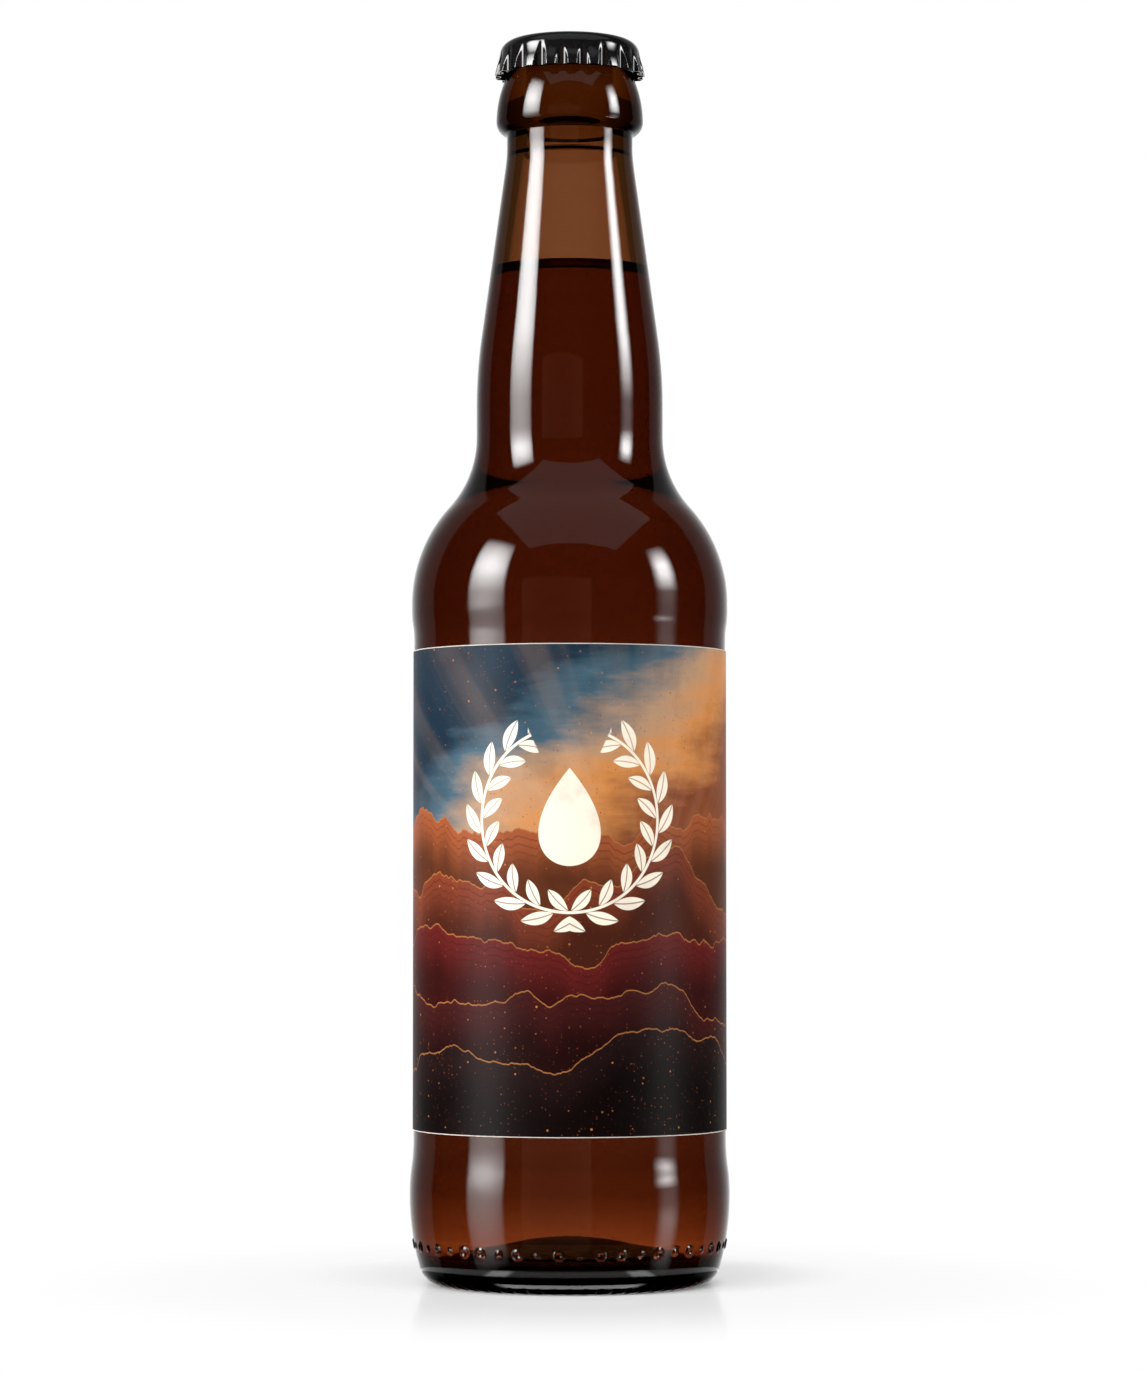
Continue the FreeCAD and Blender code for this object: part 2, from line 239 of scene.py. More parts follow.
def line_run(start, end, step):
    pieces = max(1, math.ceil((end - start).length / step))
    return [start.lerp(end, i / pieces) for i in range(pieces + 1)]


def on_arc(centre, radius, turn):
    """The point of an arc at an angle from the radial direction, towards +Z."""
    return centre + radius * Vector((math.cos(turn), math.sin(turn)))


def arc_run(centre, radius, start, end, step):
    """Points on an arc between two angles."""
    pieces = max(2, math.ceil(abs(end - start) * radius / step))
    return [on_arc(centre, radius, start + (end - start) * i / pieces) for i in range(pieces + 1)]


def s_run(low, high, part, step):
    """Two tangent arcs that leave low and reach high parallel to the axis."""
    out = high.x - low.x
    rise = high.y - low.y
    turn = 2 * math.atan2(abs(out), rise)
    total = rise / math.sin(turn)
    side = math.copysign(1, out)
    low_radius = total * part
    high_radius = total - low_radius
    low_centre = low + Vector((side * low_radius, 0))
    high_centre = high - Vector((side * high_radius, 0))
    if side > 0:
        return (arc_run(low_centre, low_radius, math.pi, math.pi - turn, step)
                + arc_run(high_centre, high_radius, -turn, 0, step))
    return (arc_run(low_centre, low_radius, 0, turn, step)
            + arc_run(high_centre, high_radius, math.pi + turn, math.pi, step))


def bend_run(before, corner, after, radius, step):
    """The arc that rounds the corner between two straight runs."""
    back = (before - corner).normalized()
    ahead = (after - corner).normalized()
    half = back.angle(ahead) / 2
    reach = radius / math.tan(half)
    centre = corner + (back + ahead).normalized() * (radius / math.sin(half))
    first = corner + back * reach - centre
    sweep = first.angle_signed(corner + ahead * reach - centre)
    start = math.atan2(first.y, first.x)
    return arc_run(centre, radius, start, start - sweep, step)


def rounded_run(corners, radii, step):
    """Straight runs through corners, each inner corner rounded by its radius."""
    points = [corners[0]]
    for before, corner, after, radius in zip(corners, corners[1:], corners[2:], radii):
        points += bend_run(before, corner, after, radius, step)
    return spread(points + [corners[-1]], step)


def spread(points, step):
    """The same run with points added where they are more than a step apart."""
    run = [points[0]]
    for start, end in zip(points, points[1:]):
        run += line_run(start, end, step)[1:]
    return run


def domed_run(apex, corner_centre, corner_radius, step):
    """A dome on the axis and the round trough about it, as two tangent arcs."""
    drop = corner_centre.y - apex
    dome = (corner_centre.x**2 + drop**2 - corner_radius**2) / (2 * (corner_radius - drop))
    centre = Vector((0, apex - dome))
    lean = math.atan2(corner_centre.y - centre.y, corner_centre.x)
    fine = step / corner_refinement
    return (arc_run(centre, dome, math.pi / 2, lean, step)
            + arc_run(corner_centre, corner_radius, math.pi + lean, 1.5 * math.pi, fine))


def distinct(points):
    """The run without points that repeat the one before."""
    run = [points[0]]
    for point in points[1:]:
        if (point - run[-1]).length > same_point:
            run.append(point)
    return run


def stations(g):
    """Radii and heights of the glass that its outline, the drink and the crown share."""
    s = SimpleNamespace()
    s.panel_r = g.heel_r - g.panel_recess
    s.ridge_r = g.heel_r - g.ridge_recess
    s.lock_r = g.bore_r + g.finish_wall
    s.collar_r = s.lock_r + g.collar_step
    s.groove_r = s.lock_r - g.groove_depth
    s.throat_r = s.collar_r - g.collar_ledge
    s.wall_r = s.panel_r - g.body_wall
    s.neck_inner_r = g.neck_foot_r - g.neck_wall
    s.throat_inner_r = s.throat_r - g.neck_wall
    s.heel = g.heel_height
    s.panel = s.heel + g.heel_blend_height
    s.panel_top = s.panel + g.panel_height
    s.ridge = s.panel_top + g.ridge_blend_height
    s.shoulder = s.ridge + g.ridge_height
    s.neck = s.shoulder + g.shoulder_height
    s.knee = s.neck + g.neck_foot_height
    s.throat = s.knee + g.neck_taper_height
    s.bore = s.throat + g.bore_step_height
    s.collar = s.throat + g.throat_height
    tuck = g.collar_round - g.collar_ledge
    s.collar_widest = s.collar + math.sqrt(g.collar_round**2 - tuck**2)
    s.groove = s.collar_widest + g.collar_flank_height
    s.lock_foot = s.groove + g.groove_height
    s.lock = s.lock_foot + g.lock_slope_height
    s.lip = s.lock + g.lock_band_height + g.lip_radius
    s.heel_centre = Vector((g.heel_r - g.heel_bulge_radius, s.heel))
    reach = g.heel_bulge_radius - g.heel_corner_radius
    corner_x = s.heel_centre.x + math.sqrt(reach**2 - (s.heel - g.heel_corner_radius)**2)
    s.corner_centre = Vector((corner_x, g.heel_corner_radius))
    s.dot_turn = -math.asin((s.heel - g.dot_height) / g.heel_bulge_radius)
    return s


def cavity_run(g, s, gap, step):
    """The inside of the glass from the middle of its floor to the bore's step, smaller by a gap."""
    corner = Vector((s.wall_r - g.floor_corner_radius, g.bearing_thickness + g.floor_corner_radius))
    trough = g.floor_corner_radius - gap
    floor = domed_run(g.push_up_height + g.base_thickness + gap, corner, trough, step)
    wall_low = Vector((s.wall_r - gap, corner.y))
    wall_high = Vector((s.wall_r - gap, s.shoulder))
    neck_low = Vector((s.neck_inner_r - gap, s.neck))
    knee = Vector((s.neck_inner_r - gap, s.knee))
    throat = Vector((s.throat_inner_r - gap, s.throat))
    run = floor + arc_run(corner, trough, -math.pi / 2, 0, step / corner_refinement)
    run += line_run(wall_low, wall_high, step * wall_coarsening)
    run += s_run(wall_high, neck_low, g.shoulder_share, step)
    run += bend_run(neck_low, knee, throat, g.neck_knee_radius, step)
    return distinct(run + [throat])


# Meshes


def around_axis(r, turn, height):
    return Vector((r * math.cos(turn), r * math.sin(turn), height))


def turned(point, segments):
    """The ring that a point of a half section makes round the axis, or the pole that it is."""
    if point.x < on_axis:
        return [Vector((0, 0, point.y))]
    return [around_axis(point.x, 2 * math.pi * i / segments, point.y) for i in range(segments)]


def band(first, first_count, second, second_count):
    """Faces between two rings, of which one may be a pole or have several times the other's points."""
    faces = []
    if first_count == 1 or second_count == 1:
        around = max(first_count, second_count)
        for i in range(around):
            j = (i + 1) % around
            if first_count == 1:
                faces.append((first, second + j, second + i))
            else:
                faces.append((first + i, first + j, second))
        return faces
    steps = min(first_count, second_count)
    first_step = first_count // steps
    second_step = second_count // steps
    for i in range(steps):
        low = [first + (i * first_step + k) % first_count for k in range(first_step + 1)]
        high = [second + (i * second_step + k) % second_count for k in range(second_step + 1)]
        faces.append(low + high[::-1])
    return faces


def skin(rings):
    """Vertices and faces through rings of points. Outside is to the right of the way up."""
    verts = []
    starts = []
    faces = []
    for ring in rings:
        starts.append(len(verts))
        verts.extend(ring)
    for i in range(len(rings) - 1):
        faces += band(starts[i], len(rings[i]), starts[i + 1], len(rings[i + 1]))
    return verts, faces


def mesh_object(name, verts, faces, sharp_angle=None):
    """A new object with a smooth-shaded mesh, with edges sharper than an angle kept crisp."""
    mesh = bpy.data.meshes.new(name)
    mesh.from_pydata(verts, [], faces)
    if mesh.validate():
        raise RuntimeError(name + " has faces that Blender had to repair")
    mesh.shade_smooth()
    if sharp_angle is not None:
        mesh.set_sharp_from_angle(angle=sharp_angle)
    piece = bpy.data.objects.new(name, mesh)
    bpy.context.scene.collection.objects.link(piece)
    return piece


def placed(piece, body, node):
    """Gives the piece its CAD body and hides the CAD node that it stands for."""
    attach(piece, body)
    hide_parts(node)


# Glass

ring_segments = 320
heel_segments = 960
panel_foot_height = 0.004
panel_rings_height = 0.006
seam_drop = 0.0011
seam_half_width = 0.00018
bore_round = 0.00025
notch_reach = 0.004

# Marks of the heel: which are rings, their room in dot radii, and their forms in parts of that room

mark_pattern = (True, False, True, True, False, True, False)
mark_room = 1.2
fine_room = 1.3
ring_middle = 0.58
ring_half_width = 0.4
dot_edge = 0.7


def mark_height(far, is_ring):
    """Part of a mark's rise at a distance from its middle, for a low ring or a low dot."""
    if is_ring:
        return max(0.0, 1 - ((far - ring_middle) / ring_half_width)**2)**2
    return max(0.0, 1 - (far / dot_edge)**2)**1.5


def heel_ring(g, s, point, centre):
    """A ring of the heel, with its part of the raised marks and of the knurl notches."""
    normal = (point - centre).normalized()
    dot_place = on_arc(s.heel_centre, g.heel_bulge_radius, s.dot_turn)
    notch_place = on_arc(s.corner_centre, g.heel_corner_radius, g.notch_tilt - math.pi / 2)
    dot_along = (point - dot_place).length
    notch_along = (point - notch_place).length
    dot_pitch = 2 * math.pi / g.dot_count
    notch_pitch = 2 * math.pi / g.notch_count
    dot_reach = mark_room * g.dot_r
    if dot_along > dot_reach and notch_along > notch_reach:
        return turned(point, heel_segments)
    ring = []
    for i in range(heel_segments):
        turn = 2 * math.pi * i / heel_segments
        dot_across = point.x * (turn % dot_pitch - dot_pitch / 2)
        notch_across = point.x * ((turn + notch_pitch / 2) % notch_pitch - notch_pitch / 2)
        far = math.hypot(dot_along, dot_across) / dot_reach
        is_ring = mark_pattern[int(turn / dot_pitch) % len(mark_pattern)]
        out = g.dot_rise * mark_height(far, is_ring)
        bow = notch_along**2 / (2 * g.heel_corner_radius) + notch_across**2 / (2 * g.notch_radius)
        moved = point + normal * (out - max(0.0, g.notch_depth - bow))
        ring.append(around_axis(moved.x, turn, moved.y))
    return ring


def heel_rings(g, s):
    """Rings from the bearing ring up to the widest ring of the heel, close together at the marks."""
    lean = math.atan2(s.corner_centre.y - s.heel_centre.y, s.corner_centre.x - s.heel_centre.x)
    reach = fine_room * g.dot_r / g.heel_bulge_radius
    low = s.dot_turn - reach
    high = s.dot_turn + reach
    corner = arc_run(s.corner_centre, g.heel_corner_radius, -math.pi / 2, lean, step=0.00025)
    bulge = []
    for start, end, step in ((lean, low, 0.0003), (low, high, 0.00016), (high, 0, 0.0009)):
        bulge += arc_run(s.heel_centre, g.heel_bulge_radius, start, end, step)
    rings = [heel_ring(g, s, point, s.corner_centre) for point in corner]
    return rings + [heel_ring(g, s, point, s.heel_centre) for point in distinct(bulge)[1:]]


def body_run(g, s):
    """Label panel, ridge and shoulder outside."""
    panel_r = s.panel_r + g.glue_hold
    panel_low = Vector((panel_r, s.panel + panel_rings_height))
    panel_high = Vector((panel_r, s.panel_top))
    ridge_low = Vector((s.ridge_r, s.ridge))
    ridge_high = Vector((s.ridge_r, s.shoulder))
    neck = Vector((g.neck_foot_r, s.neck))
    return distinct(line_run(panel_low, panel_high, step=0.002)
                    + s_run(panel_high, ridge_low, part=0.5, step=0.0005)
                    + line_run(ridge_low, ridge_high, step=0.0006)
                    + s_run(ridge_high, neck, g.shoulder_share, step=0.0007))


def neck_outer_run(g, s):
    """Straight foot, taper and throat of the neck, with the bead of the mould's joint."""
    foot = Vector((g.neck_foot_r, s.neck))
    knee = Vector((g.neck_foot_r, s.knee))
    throat = Vector((s.throat_r, s.throat))
    end = Vector((s.throat_r, s.collar))
    bends = [g.neck_knee_radius, g.throat_bend_radius]
    run = rounded_run([foot, knee, throat, end], bends, step=0.0009)
    seam = s.collar - seam_drop
    beaded = []
    for point in spread(run, step=0.0009)[:-1] + line_run(run[-2], run[-1], step=0.00012)[1:]:
        lift = g.seam_rise * math.exp(-((point.y - seam) / seam_half_width)**2)
        beaded.append(point + Vector((lift, 0)))
    return distinct(beaded)


def finish_run(g, s):
    """Collar, groove, locking ring, lip and mouth, down to the bore's step."""
    under = Vector((s.collar_r - g.collar_round, s.collar_widest))
    root = math.atan2(s.collar - s.collar_widest, s.throat_r - under.x)
    inward = s.collar_r - s.groove_r
    flank = (g.collar_flank_height**2 + inward**2) / (2 * inward)
    flank_centre = Vector((s.collar_r - flank, s.collar_widest))
    flank_turn = math.asin(g.collar_flank_height / flank)
    lip = Vector((s.lock_r - g.lip_radius, s.lip - g.lip_radius))
    mouth = Vector((g.bore_r + g.mouth_round, s.lip - g.mouth_round))
    grip = [Vector((s.groove_r, s.groove)), Vector((s.groove_r, s.lock_foot)),
            Vector((s.lock_r, s.lock)), Vector((s.lock_r, lip.y))]
    return (arc_run(under, g.collar_round, root, 0, step=0.00025)
            + arc_run(flank_centre, flank, 0, flank_turn, step=0.0004)
            + rounded_run(grip, [g.edge_round, g.edge_round], step=0.00015)
            + arc_run(lip, g.lip_radius, 0, math.pi / 2, step=0.0003)
            + arc_run(mouth, g.mouth_round, math.pi / 2, math.pi, step=0.0002))


def glass_rings(g):
    """All rings of the glass, from under its base, over the lip and down to its inner floor."""
    s = stations(g)
    bearing = Vector((s.corner_centre.x - g.bearing_width, 0))
    push_up_centre = bearing + Vector((0, g.push_up_corner_radius))
    under = domed_run(g.push_up_height, push_up_centre, g.push_up_corner_radius, step=0.0012)
    heel = Vector((g.heel_r, s.heel))
    blend = s_run(heel, Vector((s.panel_r, s.panel)), part=0.5, step=0.0007)
    panel_foot = Vector((s.panel_r + g.glue_hold, s.panel + panel_foot_height))
    blend += line_run(blend[-1], panel_foot, step=0.002)
    throat = Vector((s.throat_inner_r, s.throat))
    bore_low = Vector((g.bore_r, s.bore))
    bore_high = Vector((g.bore_r, s.lip - g.mouth_round))
    inside = cavity_run(g, s, gap=0, step=0.001)
    bore = rounded_run([bore_high, bore_low, throat, inside[-2]], [bore_round, bore_round], step=0.0002)
    outer = body_run(g, s) + neck_outer_run(g, s) + finish_run(g, s)
    rings = [turned(point, ring_segments) for point in distinct(under)]
    rings += heel_rings(g, s)
    rings += [turned(point, heel_segments) for point in distinct(blend)[1:]]
    rings += [turned(point, ring_segments) for point in distinct(outer)]
    rings += [turned(point, ring_segments) for point in distinct(bore[1:] + inside[::-1][2:])]
    return rings


# Drink


def drink_rings(g, d):
    """The drink, whose surface is drawn up to the glass all round."""
    s = stations(g)
    fill = s.lip - d.fill_depth
    brim = fill + d.meniscus
    inside = cavity_run(g, s, gap=-d.glass_hold, step=0.0012)
    below = [point for point in inside if point.y < brim]
    edge = below[-1].lerp(inside[-1], (brim - below[-1].y) / (inside[-1].y - below[-1].y))
    centre = Vector((edge.x - d.glass_hold - d.meniscus, brim))
    top = arc_run(centre, d.meniscus, 0, -math.pi / 2, step=0.0001)
    flat = line_run(top[-1], Vector((0, fill)), step=0.0015)
    run = distinct(below + line_run(below[-1], edge, step=0.0012)[1:] + top + flat[1:])
    return [turned(point, ring_segments) for point in run]


# Crown

flute_points = 28


def smooth_min(a, b, width):
    """The lesser of two values, with a round of a given width where they cross."""
    blend = max(0.0, width - abs(a - b)) / width
    return min(a, b) - blend * blend * width / 4


def crown_ring(c, s, point, inset):
    """A ring of the crown: the round crests, cut back where a flute is pressed in."""
    axis_r = s.lock_r + c.clearance + c.sheet + c.flute_radius
    flute = c.flute_radius + inset
    pitch = 2 * math.pi / c.flute_count
    ring = []
    for i in range(flute_points * c.flute_count):
        off = pitch * (i % flute_points) / flute_points - pitch / 2
        side = axis_r * math.sin(off)
        r = point.x
        if abs(side) < flute:
            r = smooth_min(r, axis_r * math.cos(off) - math.sqrt(flute**2 - side**2), c.crest_round)
        turn = c.turn - math.pi / 2 + pitch * i / flute_points
        ring.append(around_axis(r, turn, point.y))
    return ring


def crown_run(c, s, inset):
    """The crests of the crown in half section, from the middle of its top to the cut edge."""
    flat_r = s.lock_r + c.clearance + c.sheet - c.corner_radius
    centre = Vector((flat_r, crown_high.z - c.corner_radius))
    corner = arc_run(centre, c.corner_radius - inset, math.pi / 2, c.lean, step=0.0002)
    top = line_run(Vector((0, crown_high.z - inset)), corner[0], step=0.0015)
    start_out = Vector((math.cos(c.lean), math.sin(c.lean)))
    steep_out = Vector((math.cos(c.flare), math.sin(c.flare)))
    start = centre + c.corner_radius * start_out
    drop = start.y - crown_low.z
    hollow_radius = c.hollow_share * drop / (steep_out.y - start_out.y)
    swell_radius = (1 - c.hollow_share) * drop / (steep_out.y - math.sin(c.foot_lean))
    hollow_centre = start + hollow_radius * start_out
    swell_centre = hollow_centre - (hollow_radius + swell_radius) * steep_out
    foot = math.asin(swell_radius * math.sin(c.foot_lean) / (swell_radius - inset))
    hollow = arc_run(hollow_centre, hollow_radius + inset, math.pi + c.lean, math.pi + c.flare,
                     step=0.00014)
    swell = arc_run(swell_centre, swell_radius - inset, c.flare, foot, step=0.00014)
    return distinct(top + corner + hollow + swell)


def crown_rings(g, c):
    """All rings of the crown, inside first, and how many of them are inside."""
    s = stations(g)
    inside = crown_run(c, s, c.sheet)
    outside = crown_run(c, s, 0)[::-1]
    rings = []
    for run, inset in ((inside, c.sheet), (outside, 0)):
        for point in run:
            if point.x < on_axis:
                rings.append([Vector((0, 0, point.y))])
            else:
                rings.append(crown_ring(c, s, point, inset))
    return rings, len(inside)


def bare_steel(piece, rings, inside_count):
    """Gives the second material to the cut edge of the crown, between its inside and its outside."""
    inside_points = sum(len(ring) for ring in rings[:inside_count])
    for polygon in piece.data.polygons:
        is_bare = min(polygon.vertices) < inside_points <= max(polygon.vertices)
        polygon.material_index = 1 if is_bare else 0


# Label

label_stations = 720
strip_corners = 4


def label_mesh(g, p):
    """A thin strip round the panel whose end climbs over its own start at the back."""
    inner_r = stations(g).panel_r + p.glue
    lap_r = inner_r + p.thickness + p.glue
    lap = p.lap_length / inner_r
    start = math.pi / 2 - lap / 2
    ramp_end = start + 2 * math.pi - p.lap_gap / inner_r
    ramp_start = ramp_end - p.lap_ramp / inner_r
    whole = 2 * math.pi + lap
    verts = []
    for i in range(label_stations + 1):
        turn = start + whole * i / label_stations
        climb = min(1.0, max(0.0, (turn - ramp_start) / (ramp_end - ramp_start)))
        r = inner_r + (lap_r - inner_r) * climb * climb * (3 - 2 * climb)
        outer_r = r + p.thickness
        for radius, height in ((r, label_low.z), (outer_r, label_low.z),
                               (outer_r, label_high.z), (r, label_high.z)):
            verts.append(around_axis(radius, turn, height))
    faces = [(0, 1, 2, 3)]
    for i in range(label_stations):
        near = strip_corners * i
        far = near + strip_corners
        for k in range(strip_corners):
            j = (k + 1) % strip_corners
            faces.append((near + k, far + k, far + j, near + j))
    last = strip_corners * label_stations
    faces.append((last + 3, last + 2, last + 1, last))
    return verts, faces


def print_coordinates(piece):
    """Lays the print on the outer face: 0 to 1 along the label from its start, and up from its foot."""
    uv = piece.data.uv_layers.new(name="print")
    for polygon in piece.data.polygons:
        for loop in polygon.loop_indices:
            station, corner = divmod(piece.data.loops[loop].vertex_index, strip_corners)
            uv.data[loop].uv = (station / label_stations, 1.0 if corner > 1 else 0.0)
        is_print = {vertex % strip_corners for vertex in polygon.vertices} == {1, 2}
        polygon.material_index = 0 if is_print else 1


# Node graphs


class Graph:
    """Adds nodes to a tree. An input may be a number, a colour or another node's socket."""

    def __init__(self, tree):
        self.tree = tree

    def join(self, value, socket):
        if isinstance(value, bpy.types.NodeSocket):
            self.tree.links.new(value, socket)
        elif socket.type == "RGBA":
            socket.default_value = (*value, 1.0)
        else:
            socket.default_value = value

    def add(self, kind, settings=None, **inputs):
        """A node with its settings, and its inputs by name with underscores for spaces."""
        node = self.tree.nodes.new(kind)
        for key, value in (settings or {}).items():
            setattr(node, key, value)
        for key, value in inputs.items():
            self.join(value, node.inputs[key.replace("_", " ")])
        return node

    def fed(self, node, values):
        """The outputs of a node whose inputs take values in their order."""
        for value, socket in zip(values, node.inputs):
            self.join(value, socket)
        return node.outputs

    def math(self, operation, *values):
        return self.fed(self.add("ShaderNodeMath", {"operation": operation}), values)[0]

    def times(self, first, second):
        return self.math("MULTIPLY", first, second)

    def minus(self, first, second):
        return self.math("SUBTRACT", first, second)

    def scaled(self, value, factor, added):
        return self.math("MULTIPLY_ADD", value, factor, added)

    def absolute(self, value):
        return self.math("ABSOLUTE", value)

    def power(self, value, exponent):
        return self.math("POWER", value, exponent)

    def vector(self, operation, *values):
        return self.fed(self.add("ShaderNodeVectorMath", {"operation": operation}), values)[0]

    def distance(self, vector):
        return self.add("ShaderNodeVectorMath", {"operation": "LENGTH"}, Vector=vector).outputs["Value"]

    def place(self, kind="Object"):
        return self.add("ShaderNodeTexCoord").outputs[kind]

    def parts(self, vector):
        return self.add("ShaderNodeSeparateXYZ", None, Vector=vector).outputs

    def blend(self, amount, first, second):
        """A number between two others."""
        node = self.add("ShaderNodeMix")
        for value, place in ((amount, 0), (first, 2), (second, 3)):
            self.join(value, node.inputs[place])
        return node.outputs[0]

    def mix(self, amount, first, second, blend="MIX"):
        """A colour between two others."""
        node = self.add("ShaderNodeMix", {"data_type": "RGBA", "blend_type": blend})
        for value, place in ((amount, 0), (first, 6), (second, 7)):
            self.join(value, node.inputs[place])
        return node.outputs[2]

    def step(self, value, low, high, start=0.0, end=1.0):
        """A smooth step of a value, from start at low to end at high."""
        node = self.add("ShaderNodeMapRange", {"interpolation_type": "SMOOTHSTEP"}, Value=value)
        for name, number in (("From Min", low), ("From Max", high), ("To Min", start), ("To Max", end)):
            self.join(number, node.inputs[name])
        return node.outputs[0]

    def fall(self, value, low, high, start=1.0):
        """A smooth step down to nothing."""
        return self.step(value, low, high, start, 0.0)

    def between(self, value, low, high, edge):
        """One between two limits of a value, fading to nothing over an edge inside them."""
        return self.times(self.step(value, low, low + edge), self.fall(value, high - edge, high))

    def ramp(self, value, stops):
        """A colour that runs straight through stops, each a position and a colour."""
        node = self.add("ShaderNodeValToRGB", None, Fac=value)
        elements = node.color_ramp.elements
        while len(elements) < len(stops):
            elements.new(1.0)
        for element, (position, tone) in zip(elements, stops):
            element.position = position
            element.color = (*tone, 1.0)
        return node.outputs["Color"]

    def noise(self, vector, scale, detail=2.0, roughness=0.5):
        return self.add("ShaderNodeTexNoise", None, Vector=vector, Scale=scale, Detail=detail,
                        Roughness=roughness).outputs["Fac"]

    def line_noise(self, along, scale, detail, roughness=0.5):
        return self.add("ShaderNodeTexNoise", {"noise_dimensions": "1D"}, W=along, Scale=scale,
                        Detail=detail, Roughness=roughness).outputs["Fac"]

    def bump(self, height, strength, distance):
        return self.add("ShaderNodeBump", None, Height=height, Strength=strength,
                        Distance=distance).outputs["Normal"]

    def shader_mix(self, amount, first, second):
        return self.fed(self.add("ShaderNodeMixShader"), (amount, first, second))[0]

    def glow(self, strength, tone=(1.0, 1.0, 1.0)):
        """Light that adds to what is behind it."""
        light = self.add("ShaderNodeEmission", None, Color=tone, Strength=strength).outputs[0]
        clear = self.add("ShaderNodeBsdfTransparent").outputs[0]
        return self.fed(self.add("ShaderNodeAddShader"), (clear, light))[0]


def new_group(name, inputs, outputs):
    """A shader node group with named number or vector sockets. Returns its graph and ends."""
    tree = bpy.data.node_groups.new(name, "ShaderNodeTree")
    kinds = {"value": "NodeSocketFloat", "vector": "NodeSocketVector"}
    for label, kind, default in inputs:
        socket = tree.interface.new_socket(label, in_out="INPUT", socket_type=kinds[kind])
        if default is not None:
            socket.default_value = default
    for label, kind in outputs:
        tree.interface.new_socket(label, in_out="OUTPUT", socket_type=kinds[kind])
    graph = Graph(tree)
    return graph, graph.add("NodeGroupInput").outputs, graph.add("NodeGroupOutput").inputs


def placed_group(graph, tree, **inputs):
    return graph.add("ShaderNodeGroup", {"node_tree": tree}, **inputs).outputs


def new_material(name):
    """An empty procedural material. Returns it, its graph and its output node."""
    material = bpy.data.materials.new(name)
    material.use_nodes = True
    material.node_tree.nodes.clear()
    graph = Graph(material.node_tree)
    return material, graph, graph.add("ShaderNodeOutputMaterial")


def surface_wear(name="Surface Wear"):
    """Group: faint smudges, dust and fine unevenness, as masks and a height."""
    if name in bpy.data.node_groups:
        return bpy.data.node_groups[name]
    graph, inputs, outputs = new_group(
        name,
        [("Vector", "vector", None), ("Smudge Scale", "value", 60.0), ("Grain Scale", "value", 900.0)],
        [("Smudge", "value"), ("Dust", "value"), ("Height", "value")])
    grain_share = 0.3
    smudge = graph.noise(inputs["Vector"], inputs["Smudge Scale"], detail=4.0, roughness=0.6)
    grain = graph.noise(inputs["Vector"], inputs["Grain Scale"])
    graph.join(graph.step(smudge, low=0.45, high=0.75), outputs["Smudge"])
    graph.join(graph.step(grain, low=0.62, high=0.8), outputs["Dust"])
    graph.join(graph.scaled(grain, grain_share, smudge), outputs["Height"])
    return graph.tree


# Materials


def glass_tints(g):
    """Heights and tints of the glass: body, thick finish, and painted shade on the lip under the crown."""
    s = stations(g)
    return [(s.collar, g.tint), (s.collar + g.finish_fade, g.finish_tint),
            (s.groove - g.lip_shade_fade, g.finish_tint), (s.groove, g.lip_shade_tint)]


def drink_tints(d):
    """Heights and tints of the drink: paler over the floor, a painted glow low down."""
    return [(d.foot_glow_low, d.foot_glow_tint), (d.foot_glow_high, d.tint)]


def clear_material(name, look, tints, ripple_scale, ripple):
    """A clear solid: a surface tint that changes up its height, absorption inside and a faint ripple."""
    material, graph, output = new_material(name)
    smudge_roughness = 0.015
    place = graph.place()
    reach = tints[-1][0]
    height = graph.math("DIVIDE", graph.parts(place)["Z"], reach)
    # The tints up the height carry painted light where they are set so: painted shade on the glass's lip,
    # and a painted glow low in the drink.
    tint = graph.ramp(height, [(z / reach, tone) for z, tone in tints])
    wear = placed_group(graph, surface_wear(), Vector=place, Smudge_Scale=ripple_scale, Grain_Scale=300.0)
    surface = graph.add("ShaderNodeBsdfPrincipled", None, Base_Color=tint, IOR=look.ior)
    surface.inputs["Transmission Weight"].default_value = 1.0
    graph.join(graph.times(wear["Smudge"], smudge_roughness), surface.inputs["Roughness"])
    graph.join(graph.bump(wear["Height"], strength=1.0, distance=ripple), surface.inputs["Normal"])
    volume = graph.add("ShaderNodeVolumeAbsorption", None, Color=look.body_colour, Density=look.density)
    graph.join(surface.outputs[0], output.inputs["Surface"])
    graph.join(volume.outputs[0], output.inputs["Volume"])
    return material


def worn_material(name, base, worn, scales, colour_wear, rough_wear, bump):
    """An opaque finish with wear in its colour, gloss and evenness. Returns it and its shader.

    The scales are of smudges and of grain. A wear is the name and share of a mask, and for the gloss
    also the roughness without it. The bump is a strength and a depth.
    """
    material, graph, output = new_material(name)
    place = graph.place()
    wear = placed_group(graph, surface_wear(), Vector=place, Smudge_Scale=scales[0], Grain_Scale=scales[1])
    colour_mask, colour_share = colour_wear
    rough_mask, rough_share, smoothest = rough_wear
    tone = graph.mix(graph.times(wear[colour_mask], colour_share), base, worn)
    surface = graph.add("ShaderNodeBsdfPrincipled", None, Base_Color=tone)
    graph.join(graph.scaled(wear[rough_mask], rough_share, smoothest), surface.inputs["Roughness"])
    graph.join(graph.bump(wear["Height"], *bump), surface.inputs["Normal"])
    graph.join(surface.outputs[0], output.inputs["Surface"])
    return material, surface


def lacquer_material(c):
    """Glossy lacquer on pressed steel, with faint smudges."""
    material, surface = worn_material(
        "bottle_lacquer", c.lacquer, worn=(0.10, 0.10, 0.10), scales=(140.0, 2600.0),
        colour_wear=("Dust", 0.03), rough_wear=("Smudge", 0.04, 0.09), bump=(0.03, 0.00002))
    surface.inputs["Coat Weight"].default_value = 0.2
    surface.inputs["Coat Roughness"].default_value = 0.1
    return material


